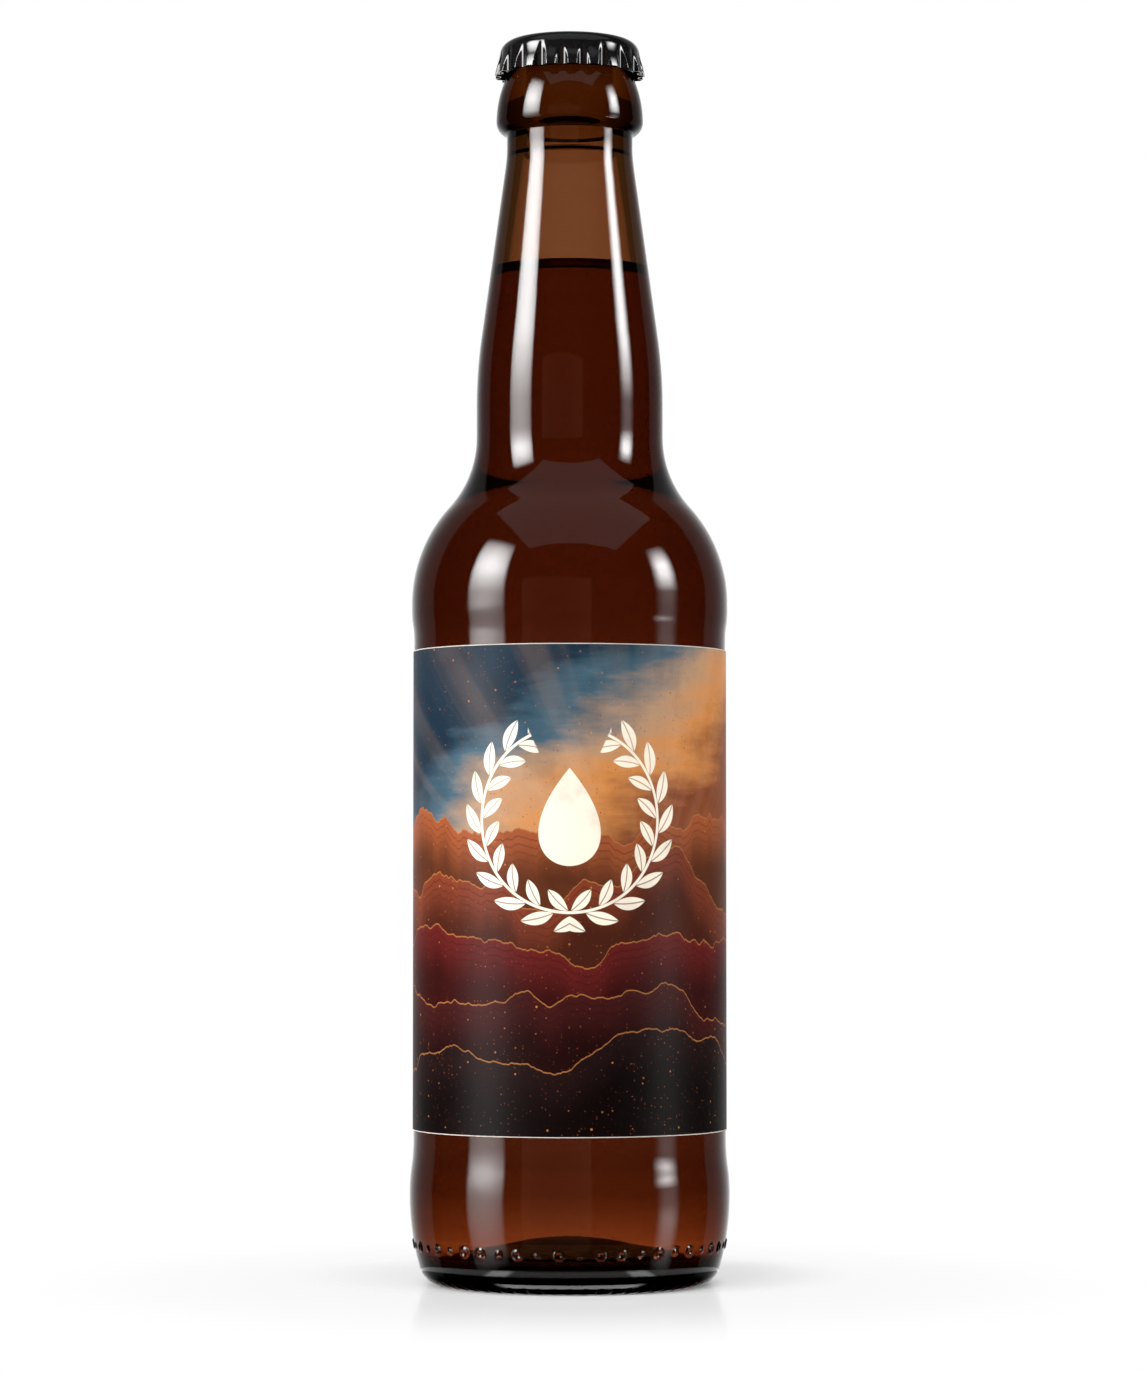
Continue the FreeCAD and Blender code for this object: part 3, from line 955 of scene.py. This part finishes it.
def steel_material(c):
    """Bare tinned steel, smudged and dulled."""
    material, surface = worn_material(
        "bottle_steel", c.steel, worn=(0.42, 0.38, 0.33), scales=(200.0, 3000.0),
        colour_wear=("Smudge", 0.5), rough_wear=("Dust", 0.25, 0.28), bump=(0.5, 0.00002))
    surface.inputs["Metallic"].default_value = 1.0
    return material


def compound_material(c):
    """Soft grey-white sealing compound."""
    return worn_material(
        "bottle_liner", c.compound, worn=(0.60, 0.60, 0.60), scales=(350.0, 4000.0),
        colour_wear=("Smudge", 0.4), rough_wear=("Dust", 0.2, 0.5), bump=(0.6, 0.00005))[0]


def matt_material(name, base, worn, smudge_scale):
    """A matt fibrous or dried surface between two colours."""
    return worn_material(
        name, base, worn, scales=(smudge_scale, 3000.0),
        colour_wear=("Smudge", 1.0), rough_wear=("Dust", 0.2, 0.65), bump=(0.6, 0.00003))[0]


# Print: dusk over hills, and a leaf wreath. Places on it are in millimetres, from the foot of the front

mm_per_m = 1000
ink_edge = 0.06


def hill_range(name="Hill Range"):
    """Group: one range of hills, as a mask below its ridge line and the depth below that line."""
    graph, inputs, outputs = new_group(
        name,
        [("Place", "vector", None), ("Height", "value", 30.0), ("Swell", "value", 20.0),
         ("Pitch", "value", 0.04), ("Seed", "value", 0.0)],
        [("Mask", "value"), ("Depth", "value")])
    place = graph.parts(inputs["Place"])
    along = graph.scaled(place["X"], inputs["Pitch"], inputs["Seed"])
    wave = graph.line_noise(along, scale=1.0, detail=6.0, roughness=0.48)
    ridge = graph.scaled(graph.minus(wave, 0.5), inputs["Swell"], inputs["Height"])
    depth = graph.minus(ridge, place["Y"])
    graph.join(graph.step(depth, -ink_edge, ink_edge), outputs["Mask"])
    graph.join(depth, outputs["Depth"])
    return graph.tree


def speckle(name="Speckle"):
    """Group: scattered round specks of unlike sizes and strengths, as a mask."""
    graph, inputs, outputs = new_group(
        name,
        [("Place", "vector", None), ("Density", "value", 0.5), ("Size", "value", 0.3)],
        [("Mask", "value")])
    rarity = 4.0
    cells = graph.add("ShaderNodeTexVoronoi", {"voronoi_dimensions": "2D"}, Vector=inputs["Place"],
                      Scale=inputs["Density"]).outputs
    chance = graph.add("ShaderNodeSeparateColor", None, Color=cells["Color"]).outputs
    size = graph.times(graph.power(chance["Red"], rarity), inputs["Size"])
    inside = graph.step(graph.minus(size, cells["Distance"]), 0.0, ink_edge)
    graph.join(graph.times(inside, chance["Green"]), outputs["Mask"])
    return graph.tree


def leaf_wreath(name="Leaf Wreath"):
    """Group: two mirrored boughs with leaves on both sides, open at the top, as a mask."""
    graph, inputs, outputs = new_group(
        name,
        [("Place", "vector", None), ("Radius", "value", 16.0), ("Leaves", "value", 9.0),
         ("Leaf Length", "value", 6.0), ("Leaf Width", "value", 2.4), ("Tilt", "value", 0.6),
         ("Stalk", "value", 0.3), ("Reach", "value", 2.7)],
        [("Mask", "value")])
    place = graph.parts(inputs["Place"])
    turn = graph.math("ARCTAN2", graph.absolute(place["X"]), graph.times(place["Y"], -1.0))
    out = graph.minus(graph.distance(inputs["Place"]), inputs["Radius"])
    outer = graph.math("GREATER_THAN", out, 0.0)
    steps = graph.math("DIVIDE", graph.times(turn, inputs["Leaves"]), math.pi)
    cell = graph.minus(graph.math("FRACT", graph.scaled(outer, 0.5, steps)), 0.5)
    pitch = graph.math("DIVIDE", graph.times(inputs["Radius"], math.pi), inputs["Leaves"])
    along = graph.times(cell, pitch)
    half = graph.times(inputs["Leaf Length"], 0.5)
    cosine = graph.math("COSINE", inputs["Tilt"])
    sine = graph.math("SINE", inputs["Tilt"])
    centred = graph.minus(graph.absolute(out), graph.scaled(half, sine, inputs["Stalk"]))
    lengthwise = graph.math("ADD", graph.times(along, cosine), graph.times(centred, sine))
    across = graph.minus(graph.times(centred, cosine), graph.times(along, sine))
    bow = graph.power(graph.math("DIVIDE", lengthwise, half), 2.0)
    width = graph.times(graph.minus(1.0, bow), graph.times(inputs["Leaf Width"], 0.5))
    aside = graph.absolute(across)
    blade = graph.step(graph.minus(width, aside), low=0.0, high=0.1)
    veined = graph.times(blade, graph.step(aside, low=0.06, high=0.16, start=0.25))
    stem = graph.fall(graph.absolute(out), low=0.2, high=0.32)
    beyond = graph.minus(turn, inputs["Reach"])
    grown = graph.fall(beyond, low=0.0, high=0.02)
    graph.join(graph.times(graph.math("MAXIMUM", veined, stem), grown), outputs["Mask"])
    return graph.tree


def drop_mask(graph, place, foot, height, width):
    """A pointed drop that stands on a foot height."""
    up = graph.math("DIVIDE", graph.minus(place["Y"], foot), height)
    bounded = graph.math("MINIMUM", graph.math("MAXIMUM", up, 0.0), 1.0)
    half = graph.times(graph.math("SQRT", bounded), graph.minus(1.0, bounded))
    inside = graph.minus(graph.times(half, width), graph.absolute(place["X"]))
    return graph.step(inside, 0.0, 2 * ink_edge)


def dusk_sky(graph, p, at):
    """Sky from the glow at the hills up to the night, with drifting haze and soft rays."""
    sky_height = 90.3
    drift_grain = (0.022, 0.085, 0.0)
    drift_share = 0.5
    lean = -0.0072
    ray_x = 14.0
    ray_y = 36.0
    ray_share = 0.12
    place = graph.parts(at)
    drift = graph.noise(graph.vector("MULTIPLY", at, drift_grain), scale=1.0, detail=8.0, roughness=0.62)
    rise = graph.scaled(place["Y"], 1 / sky_height, graph.scaled(drift, drift_share, -drift_share / 2))
    sky = graph.ramp(graph.scaled(place["X"], lean, rise),
                     [(0.52, p.far_hill), (0.64, p.glow), (0.76, p.haze), (0.88, p.dusk), (1.0, p.night)])
    bearing = graph.math("ARCTAN2", graph.minus(place["Y"], ray_y), graph.minus(place["X"], ray_x))
    rays = graph.step(graph.line_noise(bearing, scale=7.0, detail=4.0), low=0.35, high=0.75, end=ray_share)
    return graph.mix(rays, sky, p.haze, "SCREEN")


def hills(graph, p, at, sky):
    """Ranges from rust to near black, each with a lit ridge, engraved contours and a darker foot."""
    top_height = 57.0
    height_step = 10.5
    top_pitch = 0.045
    pitch_step = 0.004
    top_seed = 3.1
    seed_step = 9.7
    contours = 0.7
    lighter = 1.5
    darker = 0.45
    tree = hill_range()
    far, red, near = (Vector(tone) for tone in (p.far_hill, p.red_hill, p.near_hill))
    ink = sky
    for i, tone in enumerate((far, far.lerp(red, 0.6), red, red.lerp(near, 0.65), near)):
        land = placed_group(graph, tree, Place=at, Height=top_height - height_step * i, Swell=24.0,
                            Pitch=top_pitch - pitch_step * i, Seed=top_seed + seed_step * i)
        depth = land["Depth"]
        wave = graph.math("FRACT", graph.times(depth, contours))
        contour = graph.fall(wave, low=0.0, high=0.3, start=0.5)
        cut = graph.times(contour, graph.fall(depth, low=1.0, high=9.0))
        body = graph.mix(graph.step(depth, low=0.0, high=10.0), tone * lighter, tone * darker)
        engraved = graph.mix(cut, body, near)
        lit = graph.mix(graph.fall(depth, low=0.1, high=0.35, start=0.55), engraved, p.glow)
        ink = graph.mix(land["Mask"], ink, lit)
    return ink


def blank_panel(graph, p, place, ink):
    """Bordered dark panels without a word, left and right of the back."""
    middle_x = 71.0
    middle_y = 47.0
    half_width = 15.0
    half_height = 31.0
    corner = 3.0
    border_inset = 1.0
    sideways = graph.absolute(graph.minus(graph.absolute(place["X"]), middle_x))
    upright = graph.absolute(graph.minus(place["Y"], middle_y))
    past_side = graph.minus(sideways, half_width)
    past_end = graph.minus(upright, half_height)
    edge = graph.math("SMOOTH_MAX", past_side, past_end, corner)
    filled = graph.mix(graph.fall(edge, low=0.0, high=0.08, start=0.92), ink, p.near_hill)
    line = graph.absolute(graph.math("ADD", edge, border_inset))
    return graph.mix(graph.fall(line, low=0.16, high=0.24, start=0.9), filled, p.cream)


def print_ink(graph, p, at):
    """Colour of the whole print."""
    speck_share = 0.8
    wreath_height = 58.0
    specks = speckle()
    ink = hills(graph, p, at, dusk_sky(graph, p, at))
    for density, size, tone in ((0.5, 0.14, p.glow), (1.4, 0.26, p.far_hill)):
        mask = placed_group(graph, specks, Place=at, Density=density, Size=size)["Mask"]
        ink = graph.mix(graph.times(mask, speck_share), ink, tone)
    ink = blank_panel(graph, p, graph.parts(at), ink)
    middle = graph.vector("SUBTRACT", at, (0.0, wreath_height, 0.0))
    wreath = placed_group(graph, leaf_wreath(), Place=middle, Radius=17.0, Leaves=10.0)["Mask"]
    drop = drop_mask(graph, graph.parts(middle), foot=-8.5, height=18.0, width=15.0)
    return graph.mix(graph.math("MAXIMUM", wreath, drop), ink, p.cream)


def print_material(p, g):
    """The printed, satin-varnished face of the label, with bare paper along its edges."""
    material, graph, output = new_material("bottle_print")
    smudge_share = 0.25
    dust_roughness = 0.1
    varnish_roughness = 0.38
    margin_edge = 0.04
    round_panel = 2 * math.pi * (stations(g).panel_r + p.glue)
    spread_mm = mm_per_m * (round_panel + p.lap_length)
    height_mm = mm_per_m * (label_high.z - label_low.z)
    bare_from = height_mm / 2 - mm_per_m * p.margin
    uv = graph.add("ShaderNodeUVMap", {"uv_map": "print"}).outputs["UV"]
    at = graph.vector("MULTIPLY_ADD", uv, (spread_mm, height_mm, 0.0), (-spread_mm / 2, 0.0, 0.0))
    wear = placed_group(graph, surface_wear(), Vector=at, Smudge_Scale=0.1, Grain_Scale=4.0)
    ink = graph.mix(graph.times(wear["Smudge"], smudge_share), print_ink(graph, p, at), p.near_hill)
    from_middle = graph.absolute(graph.minus(graph.parts(at)["Y"], height_mm / 2))
    bare = graph.step(from_middle, bare_from - margin_edge, bare_from)
    surface = graph.add("ShaderNodeBsdfPrincipled", None, Base_Color=graph.mix(bare, ink, p.paper))
    surface.inputs["Specular IOR Level"].default_value = 0.1
    graph.join(graph.scaled(wear["Dust"], dust_roughness, varnish_roughness), surface.inputs["Roughness"])
    graph.join(graph.bump(wear["Height"], strength=0.2, distance=0.00002), surface.inputs["Normal"])
    graph.join(surface.outputs[0], output.inputs["Surface"])
    return material


# Stage


def light_panel(name, corners, strength_socket, tone=(1.0, 1.0, 1.0)):
    """A flat light, seen only as light on matt surfaces and as a reflection.

    strength_socket builds the light's strength in the graph of its material.
    """
    material, graph, output = new_material(name)
    graph.join(graph.glow(strength_socket(graph), tone), output.inputs["Surface"])
    panel = mesh_object(name, corners, [range(len(corners))])
    panel.data.materials.append(material)
    panel.visible_camera = False
    panel.visible_transmission = False


def softbox(name, bearing, half_width, low, high, distance, strength, tone=(1.0, 1.0, 1.0)):
    """An upright light panel that faces the axis, at degrees to the right of the camera and up."""
    turn = math.radians(bearing)
    side = distance * math.tan(math.radians(half_width))
    out = Vector((math.sin(turn), -math.cos(turn), 0))
    along = Vector((math.cos(turn), math.sin(turn), 0))
    corners = []
    for across, rise in ((-side, high), (side, high), (side, low), (-side, low)):
        up = Vector((0, 0, distance * math.tan(math.radians(rise))))
        corners.append(out * distance + along * across + up)
    light_panel(name, corners, strength, tone)


def overhead_panel(name, left, right, front, back, height, strength):
    """A dim light above the bottle."""
    corners = [Vector((left, front, height)), Vector((right, front, height)),
               Vector((right, back, height)), Vector((left, back, height))]
    light_panel(name, corners, lambda graph: strength)


def panel_strength(peak, stops, edge, dip):
    """Strength over a panel: parts of the peak up its height, soft sides, and a dip towards them."""
    def build(graph):
        place = graph.parts(graph.place("Generated"))
        rise = graph.ramp(place["Z"], [(position, (part, part, part)) for position, part in stops])
        aside = graph.absolute(graph.scaled(place["X"], 2.0, -1.0))
        dimmed = graph.scaled(graph.power(aside, 2.0), -dip, 1.0)
        soft = graph.times(dimmed, graph.fall(aside, 1.0 - edge, 1.0))
        return graph.times(graph.times(rise, soft), peak)
    return build


def studio_lights(stage):
    """Softboxes left and right, a low one on each side for the heel, a faint front and a dim top."""
    far = stage.light_distance
    left = [(0.02, 0.0), (0.14, 0.07), (0.34, 0.15), (0.45, 0.32), (0.54, 0.62), (0.60, 0.86),
            (0.65, 1.0), (0.73, 0.86), (0.81, 0.60), (0.86, 0.42), (0.93, 0.06), (0.96, 0.0)]
    right = [(0.02, 0.0), (0.14, 0.06), (0.26, 0.12), (0.32, 0.05), (0.40, 0.05), (0.455, 0.08),
             (0.485, 0.29), (0.575, 0.86), (0.65, 1.0), (0.69, 0.75), (0.73, 0.45), (0.79, 0.14),
             (0.83, 0.0)]
    glint = [(0.0, 0.0), (0.5, 1.0), (1.0, 0.0)]
    front = [(0.0, 0.5), (0.6, 1.0), (1.0, 1.0)]
    softbox("softbox_left", bearing=-63.5, half_width=17, low=-30, high=45, distance=far,
            strength=panel_strength(peak=22.5, stops=left, edge=0.25, dip=0.7))
    softbox("softbox_right", bearing=75.3, half_width=12, low=-30, high=45, distance=far,
            strength=panel_strength(peak=22.0, stops=right, edge=0.85, dip=0.0))
    softbox("softbox_low_left", bearing=-66, half_width=16, low=2.3, high=13.5, distance=1.0,
            strength=panel_strength(peak=2.3, stops=glint, edge=1.0, dip=0.0))
    softbox("softbox_low_right", bearing=71, half_width=12, low=5, high=13, distance=0.35,
            strength=panel_strength(peak=11.0, stops=glint, edge=1.0, dip=0.0))
    softbox("softbox_front", bearing=-9.6, half_width=25.8, low=-25, high=18.5, distance=far,
            strength=panel_strength(peak=0.15, stops=front, edge=0.05, dip=-1.0), tone=(1.0, 0.45, 0.28))
    overhead_panel("softbox_top", left=-1.06, right=1.25, front=-1.5, back=0.2, height=1.6, strength=0.35)


def seen_directly(graph, rays):
    """One for rays from the camera, also through glass."""
    return graph.math("MAXIMUM", rays["Is Camera Ray"], rays["Is Transmission Ray"])


def studio_world(stage):
    """White behind for the camera, in glass and at grazing reflections; an even fill on matt surfaces."""
    behind_from = 0.454
    side_grey = 0.13
    front_grey = 0.02
    falloff = 4.0
    world = bpy.data.worlds.new("studio")
    bpy.context.scene.world = world
    world.use_nodes = True
    world.cycles.sampling_method = "NONE"
    world.node_tree.nodes.clear()
    graph = Graph(world.node_tree)
    rays = graph.add("ShaderNodeLightPath").outputs
    direction = graph.parts(graph.place("Generated"))
    reach = 1 - behind_from
    behind = graph.math("MAXIMUM", graph.scaled(direction["Y"], 1 / reach, -behind_from / reach), 0.0)
    rising = graph.scaled(graph.power(behind, falloff), 1 - side_grey, side_grey)
    upward = graph.step(direction["Z"], low=-0.5, high=-0.2)
    screen = graph.step(direction["Y"], low=0.43, high=0.48, start=front_grey)
    mirrored = graph.times(graph.times(rising, upward), screen)
    bounces = graph.math("ADD", rays["Glossy Depth"], rays["Diffuse Depth"])
    turned_back = graph.math("GREATER_THAN", bounces, 0.5)
    white = graph.scaled(turned_back, stage.inner_white - 1.0, 1.0)
    unseen = graph.blend(rays["Is Glossy Ray"], stage.fill, mirrored)
    strength = graph.blend(seen_directly(graph, rays), unseen, white)
    background = graph.add("ShaderNodeBackground", None, Color=(1.0, 1.0, 1.0), Strength=strength)
    output = graph.add("ShaderNodeOutputWorld")
    graph.join(background.outputs[0], output.inputs["Surface"])


def pale_floor(graph, stage, place, seen):
    """Matt with the bottle's shadow and a grazing gloss near it, white with a faint sheen farther off."""
    shadow_back = 0.018
    grazing_share = 0.43
    sheen_share = 0.32
    distance = graph.distance(place)
    from_shadow = graph.distance(graph.vector("SUBTRACT", place, (0.0, shadow_back, 0.0)))
    facing = graph.add("ShaderNodeLayerWeight", None, Blend=0.5).outputs["Facing"]
    matt = graph.add("ShaderNodeBsdfDiffuse", None, Color=stage.floor_colour).outputs[0]
    gloss = graph.add("ShaderNodeBsdfGlossy", None, Roughness=0.2).outputs[0]
    white = graph.add("ShaderNodeEmission").outputs[0]
    sheen = graph.add("ShaderNodeBsdfGlossy", None, Roughness=0.12).outputs[0]
    near = graph.shader_mix(graph.times(graph.power(facing, 5.0), grazing_share), matt, gloss)
    polish = graph.fall(distance, low=0.035, high=0.115, start=sheen_share)
    far = graph.shader_mix(graph.times(polish, graph.power(facing, 2.0)), white, sheen)
    whitened = graph.times(graph.step(from_shadow, low=0.030, high=0.056, start=stage.floor_white), seen)
    beyond_foot = graph.step(distance, low=0.0247, high=0.0305)
    return graph.shader_mix(graph.times(whitened, beyond_foot), near, far)


def floor_glints(graph, place):
    """Strength of glowing rings on the floor, seen only in reflections, that paint highlight lines into
    the foot and the heel.
    """
    foot_peak = 3.6
    heel_level = 0.6
    heel_sides = 3.0
    spot = graph.parts(place)
    distance = graph.distance(place)
    front = graph.fall(spot["Y"], low=-0.0254, high=-0.0238)
    foot = graph.times(graph.between(distance, low=0.0271, high=0.0290, edge=0.0005), front)
    sides = graph.between(graph.absolute(spot["X"]), low=0.0150, high=0.0225, edge=0.0020)
    ring = graph.between(distance, low=0.0328, high=0.0362, edge=0.0010)
    heel = graph.times(ring, graph.scaled(sides, heel_sides, heel_level))
    return graph.scaled(foot, foot_peak, heel)


def studio_floor(stage):
    """A pale floor that keeps the bottle's shadow and a faint reflection of it."""
    reach = 6.0
    corners = [(-reach, -reach, 0), (reach, -reach, 0), (reach, reach, 0), (-reach, reach, 0)]
    floor = mesh_object("floor", corners, [(0, 1, 2, 3)])
    material, graph, output = new_material("floor")
    rays = graph.add("ShaderNodeLightPath").outputs
    seen = seen_directly(graph, rays)
    place = graph.place()
    # For reflected rays the floor is clear and glows in rings: painted highlights in the glass's foot and
    # heel.
    only_mirrored = graph.times(rays["Is Glossy Ray"], graph.minus(1.0, seen))
    whole = graph.shader_mix(only_mirrored, pale_floor(graph, stage, place, seen),
                             graph.glow(floor_glints(graph, place)))
    graph.join(whole, output.inputs["Surface"])
    floor.data.materials.append(material)


def studio_camera(stage):
    """The camera, about level with the middle of the label and tilted up a little."""
    sensor = 36.0
    lens = bpy.data.cameras.new("camera")
    lens.lens = stage.lens
    lens.sensor_width = sensor
    camera = bpy.data.objects.new("camera", lens)
    camera.location = (stage.camera_side, -stage.camera_distance, stage.camera_height)
    camera.rotation_euler = (math.pi / 2 + stage.camera_pitch, 0, 0)
    bpy.context.scene.collection.objects.link(camera)
    bpy.context.scene.camera = camera


# Operators


class BOTTLE_OT_stage(bpy.types.Operator):
    """Set up the floor, the soft lights, the white surround and the camera"""

    bl_idname = "bottle.stage"
    bl_label = "Stage"

    def execute(self, context):
        stage = context.scene.bottle_stage
        context.scene.view_settings.view_transform = "Standard"
        studio_camera(stage)
        studio_world(stage)
        studio_floor(stage)
        studio_lights(stage)
        return {"FINISHED"}


class BOTTLE_OT_glass(bpy.types.Operator):
    """Build the amber glass"""

    bl_idname = "bottle.glass"
    bl_label = "Glass"

    def execute(self, context):
        g = context.scene.bottle_glass
        piece = mesh_object("bottle_glass", *skin(glass_rings(g)))
        amber = clear_material("bottle_amber", g, glass_tints(g), ripple_scale=55.0, ripple=0.00002)
        piece.data.materials.append(amber)
        placed(piece, "bottle", "glass_bottle")
        return {"FINISHED"}


class BOTTLE_OT_drink(bpy.types.Operator):
    """Fill the glass with the drink"""

    bl_idname = "bottle.drink"
    bl_label = "Drink"

    def execute(self, context):
        d = context.scene.bottle_drink
        piece = mesh_object("bottle_drink", *skin(drink_rings(context.scene.bottle_glass, d)))
        soda = clear_material("bottle_soda", d, drink_tints(d), ripple_scale=20.0, ripple=0.0)
        piece.data.materials.append(soda)
        placed(piece, "bottle", "soda")
        return {"FINISHED"}


class BOTTLE_OT_crown(bpy.types.Operator):
    """Press the crown cap and finish its liner"""

    bl_idname = "bottle.crown"
    bl_label = "Crown cap"

    def execute(self, context):
        c = context.scene.bottle_crown
        rings, inside_count = crown_rings(context.scene.bottle_glass, c)
        piece = mesh_object("bottle_crown", *skin(rings), sharp_angle=math.radians(50))
        piece.data.materials.append(lacquer_material(c))
        piece.data.materials.append(steel_material(c))
        bare_steel(piece, rings, inside_count)
        placed(piece, "crown", "crown_cap")
        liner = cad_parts["cap_liner"]
        liner.data.materials.clear()
        liner.data.materials.append(compound_material(c))
        return {"FINISHED"}


class BOTTLE_OT_label(bpy.types.Operator):
    """Wrap the printed label round its panel, on its glue"""

    bl_idname = "bottle.label"
    bl_label = "Label"

    def execute(self, context):
        p = context.scene.bottle_label
        g = context.scene.bottle_glass
        verts, faces = label_mesh(g, p)
        piece = mesh_object("bottle_label", verts, faces, sharp_angle=math.radians(30))
        print_coordinates(piece)
        paper = matt_material("bottle_paper", p.paper, worn=(0.70, 0.66, 0.58), smudge_scale=300.0)
        piece.data.materials.append(print_material(p, g))
        piece.data.materials.append(paper)
        placed(piece, "bottle", "label")
        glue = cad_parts["label_adhesive"]
        dried = matt_material("bottle_glue", p.glue_colour, worn=(0.50, 0.44, 0.32), smudge_scale=90.0)
        glue.data.materials.clear()
        glue.data.materials.append(dried)
        return {"FINISHED"}


class BOTTLE_PT_build(bpy.types.Panel):
    """Builds the bottle piece by piece"""

    bl_label = "Glass Soda Bottle"
    bl_idname = "BOTTLE_PT_build"
    bl_space_type = "VIEW_3D"
    bl_region_type = "UI"
    bl_category = "Bottle"

    def draw(self, context):
        for operator in operators:
            self.layout.operator(operator.bl_idname)
        for name in groups:
            box = self.layout.box()
            box.label(text=groups[name].__doc__)
            for key in groups[name].__annotations__:
                box.prop(getattr(context.scene, name), key)


groups = {
    "bottle_glass": BottleGlass,
    "bottle_drink": BottleDrink,
    "bottle_crown": BottleCrown,
    "bottle_label": BottleLabel,
    "bottle_stage": BottleStage,
}
operators = (BOTTLE_OT_stage, BOTTLE_OT_glass, BOTTLE_OT_drink, BOTTLE_OT_crown, BOTTLE_OT_label)


def register():
    for name, group in groups.items():
        bpy.utils.register_class(group)
        setattr(bpy.types.Scene, name, bpy.props.PointerProperty(type=group))
    for kind in (*operators, BOTTLE_PT_build):
        bpy.utils.register_class(kind)


def unregister():
    for kind in (BOTTLE_PT_build, *reversed(operators)):
        bpy.utils.unregister_class(kind)
    for name, group in reversed(groups.items()):
        delattr(bpy.types.Scene, name)
        bpy.utils.unregister_class(group)


def main():
    register()
    bpy.ops.bottle.stage()
    bpy.ops.bottle.glass()
    bpy.ops.bottle.drink()
    bpy.ops.bottle.crown()
    bpy.ops.bottle.label()
    bpy.context.view_layer.update()


if __name__ == "__main__":
    main()
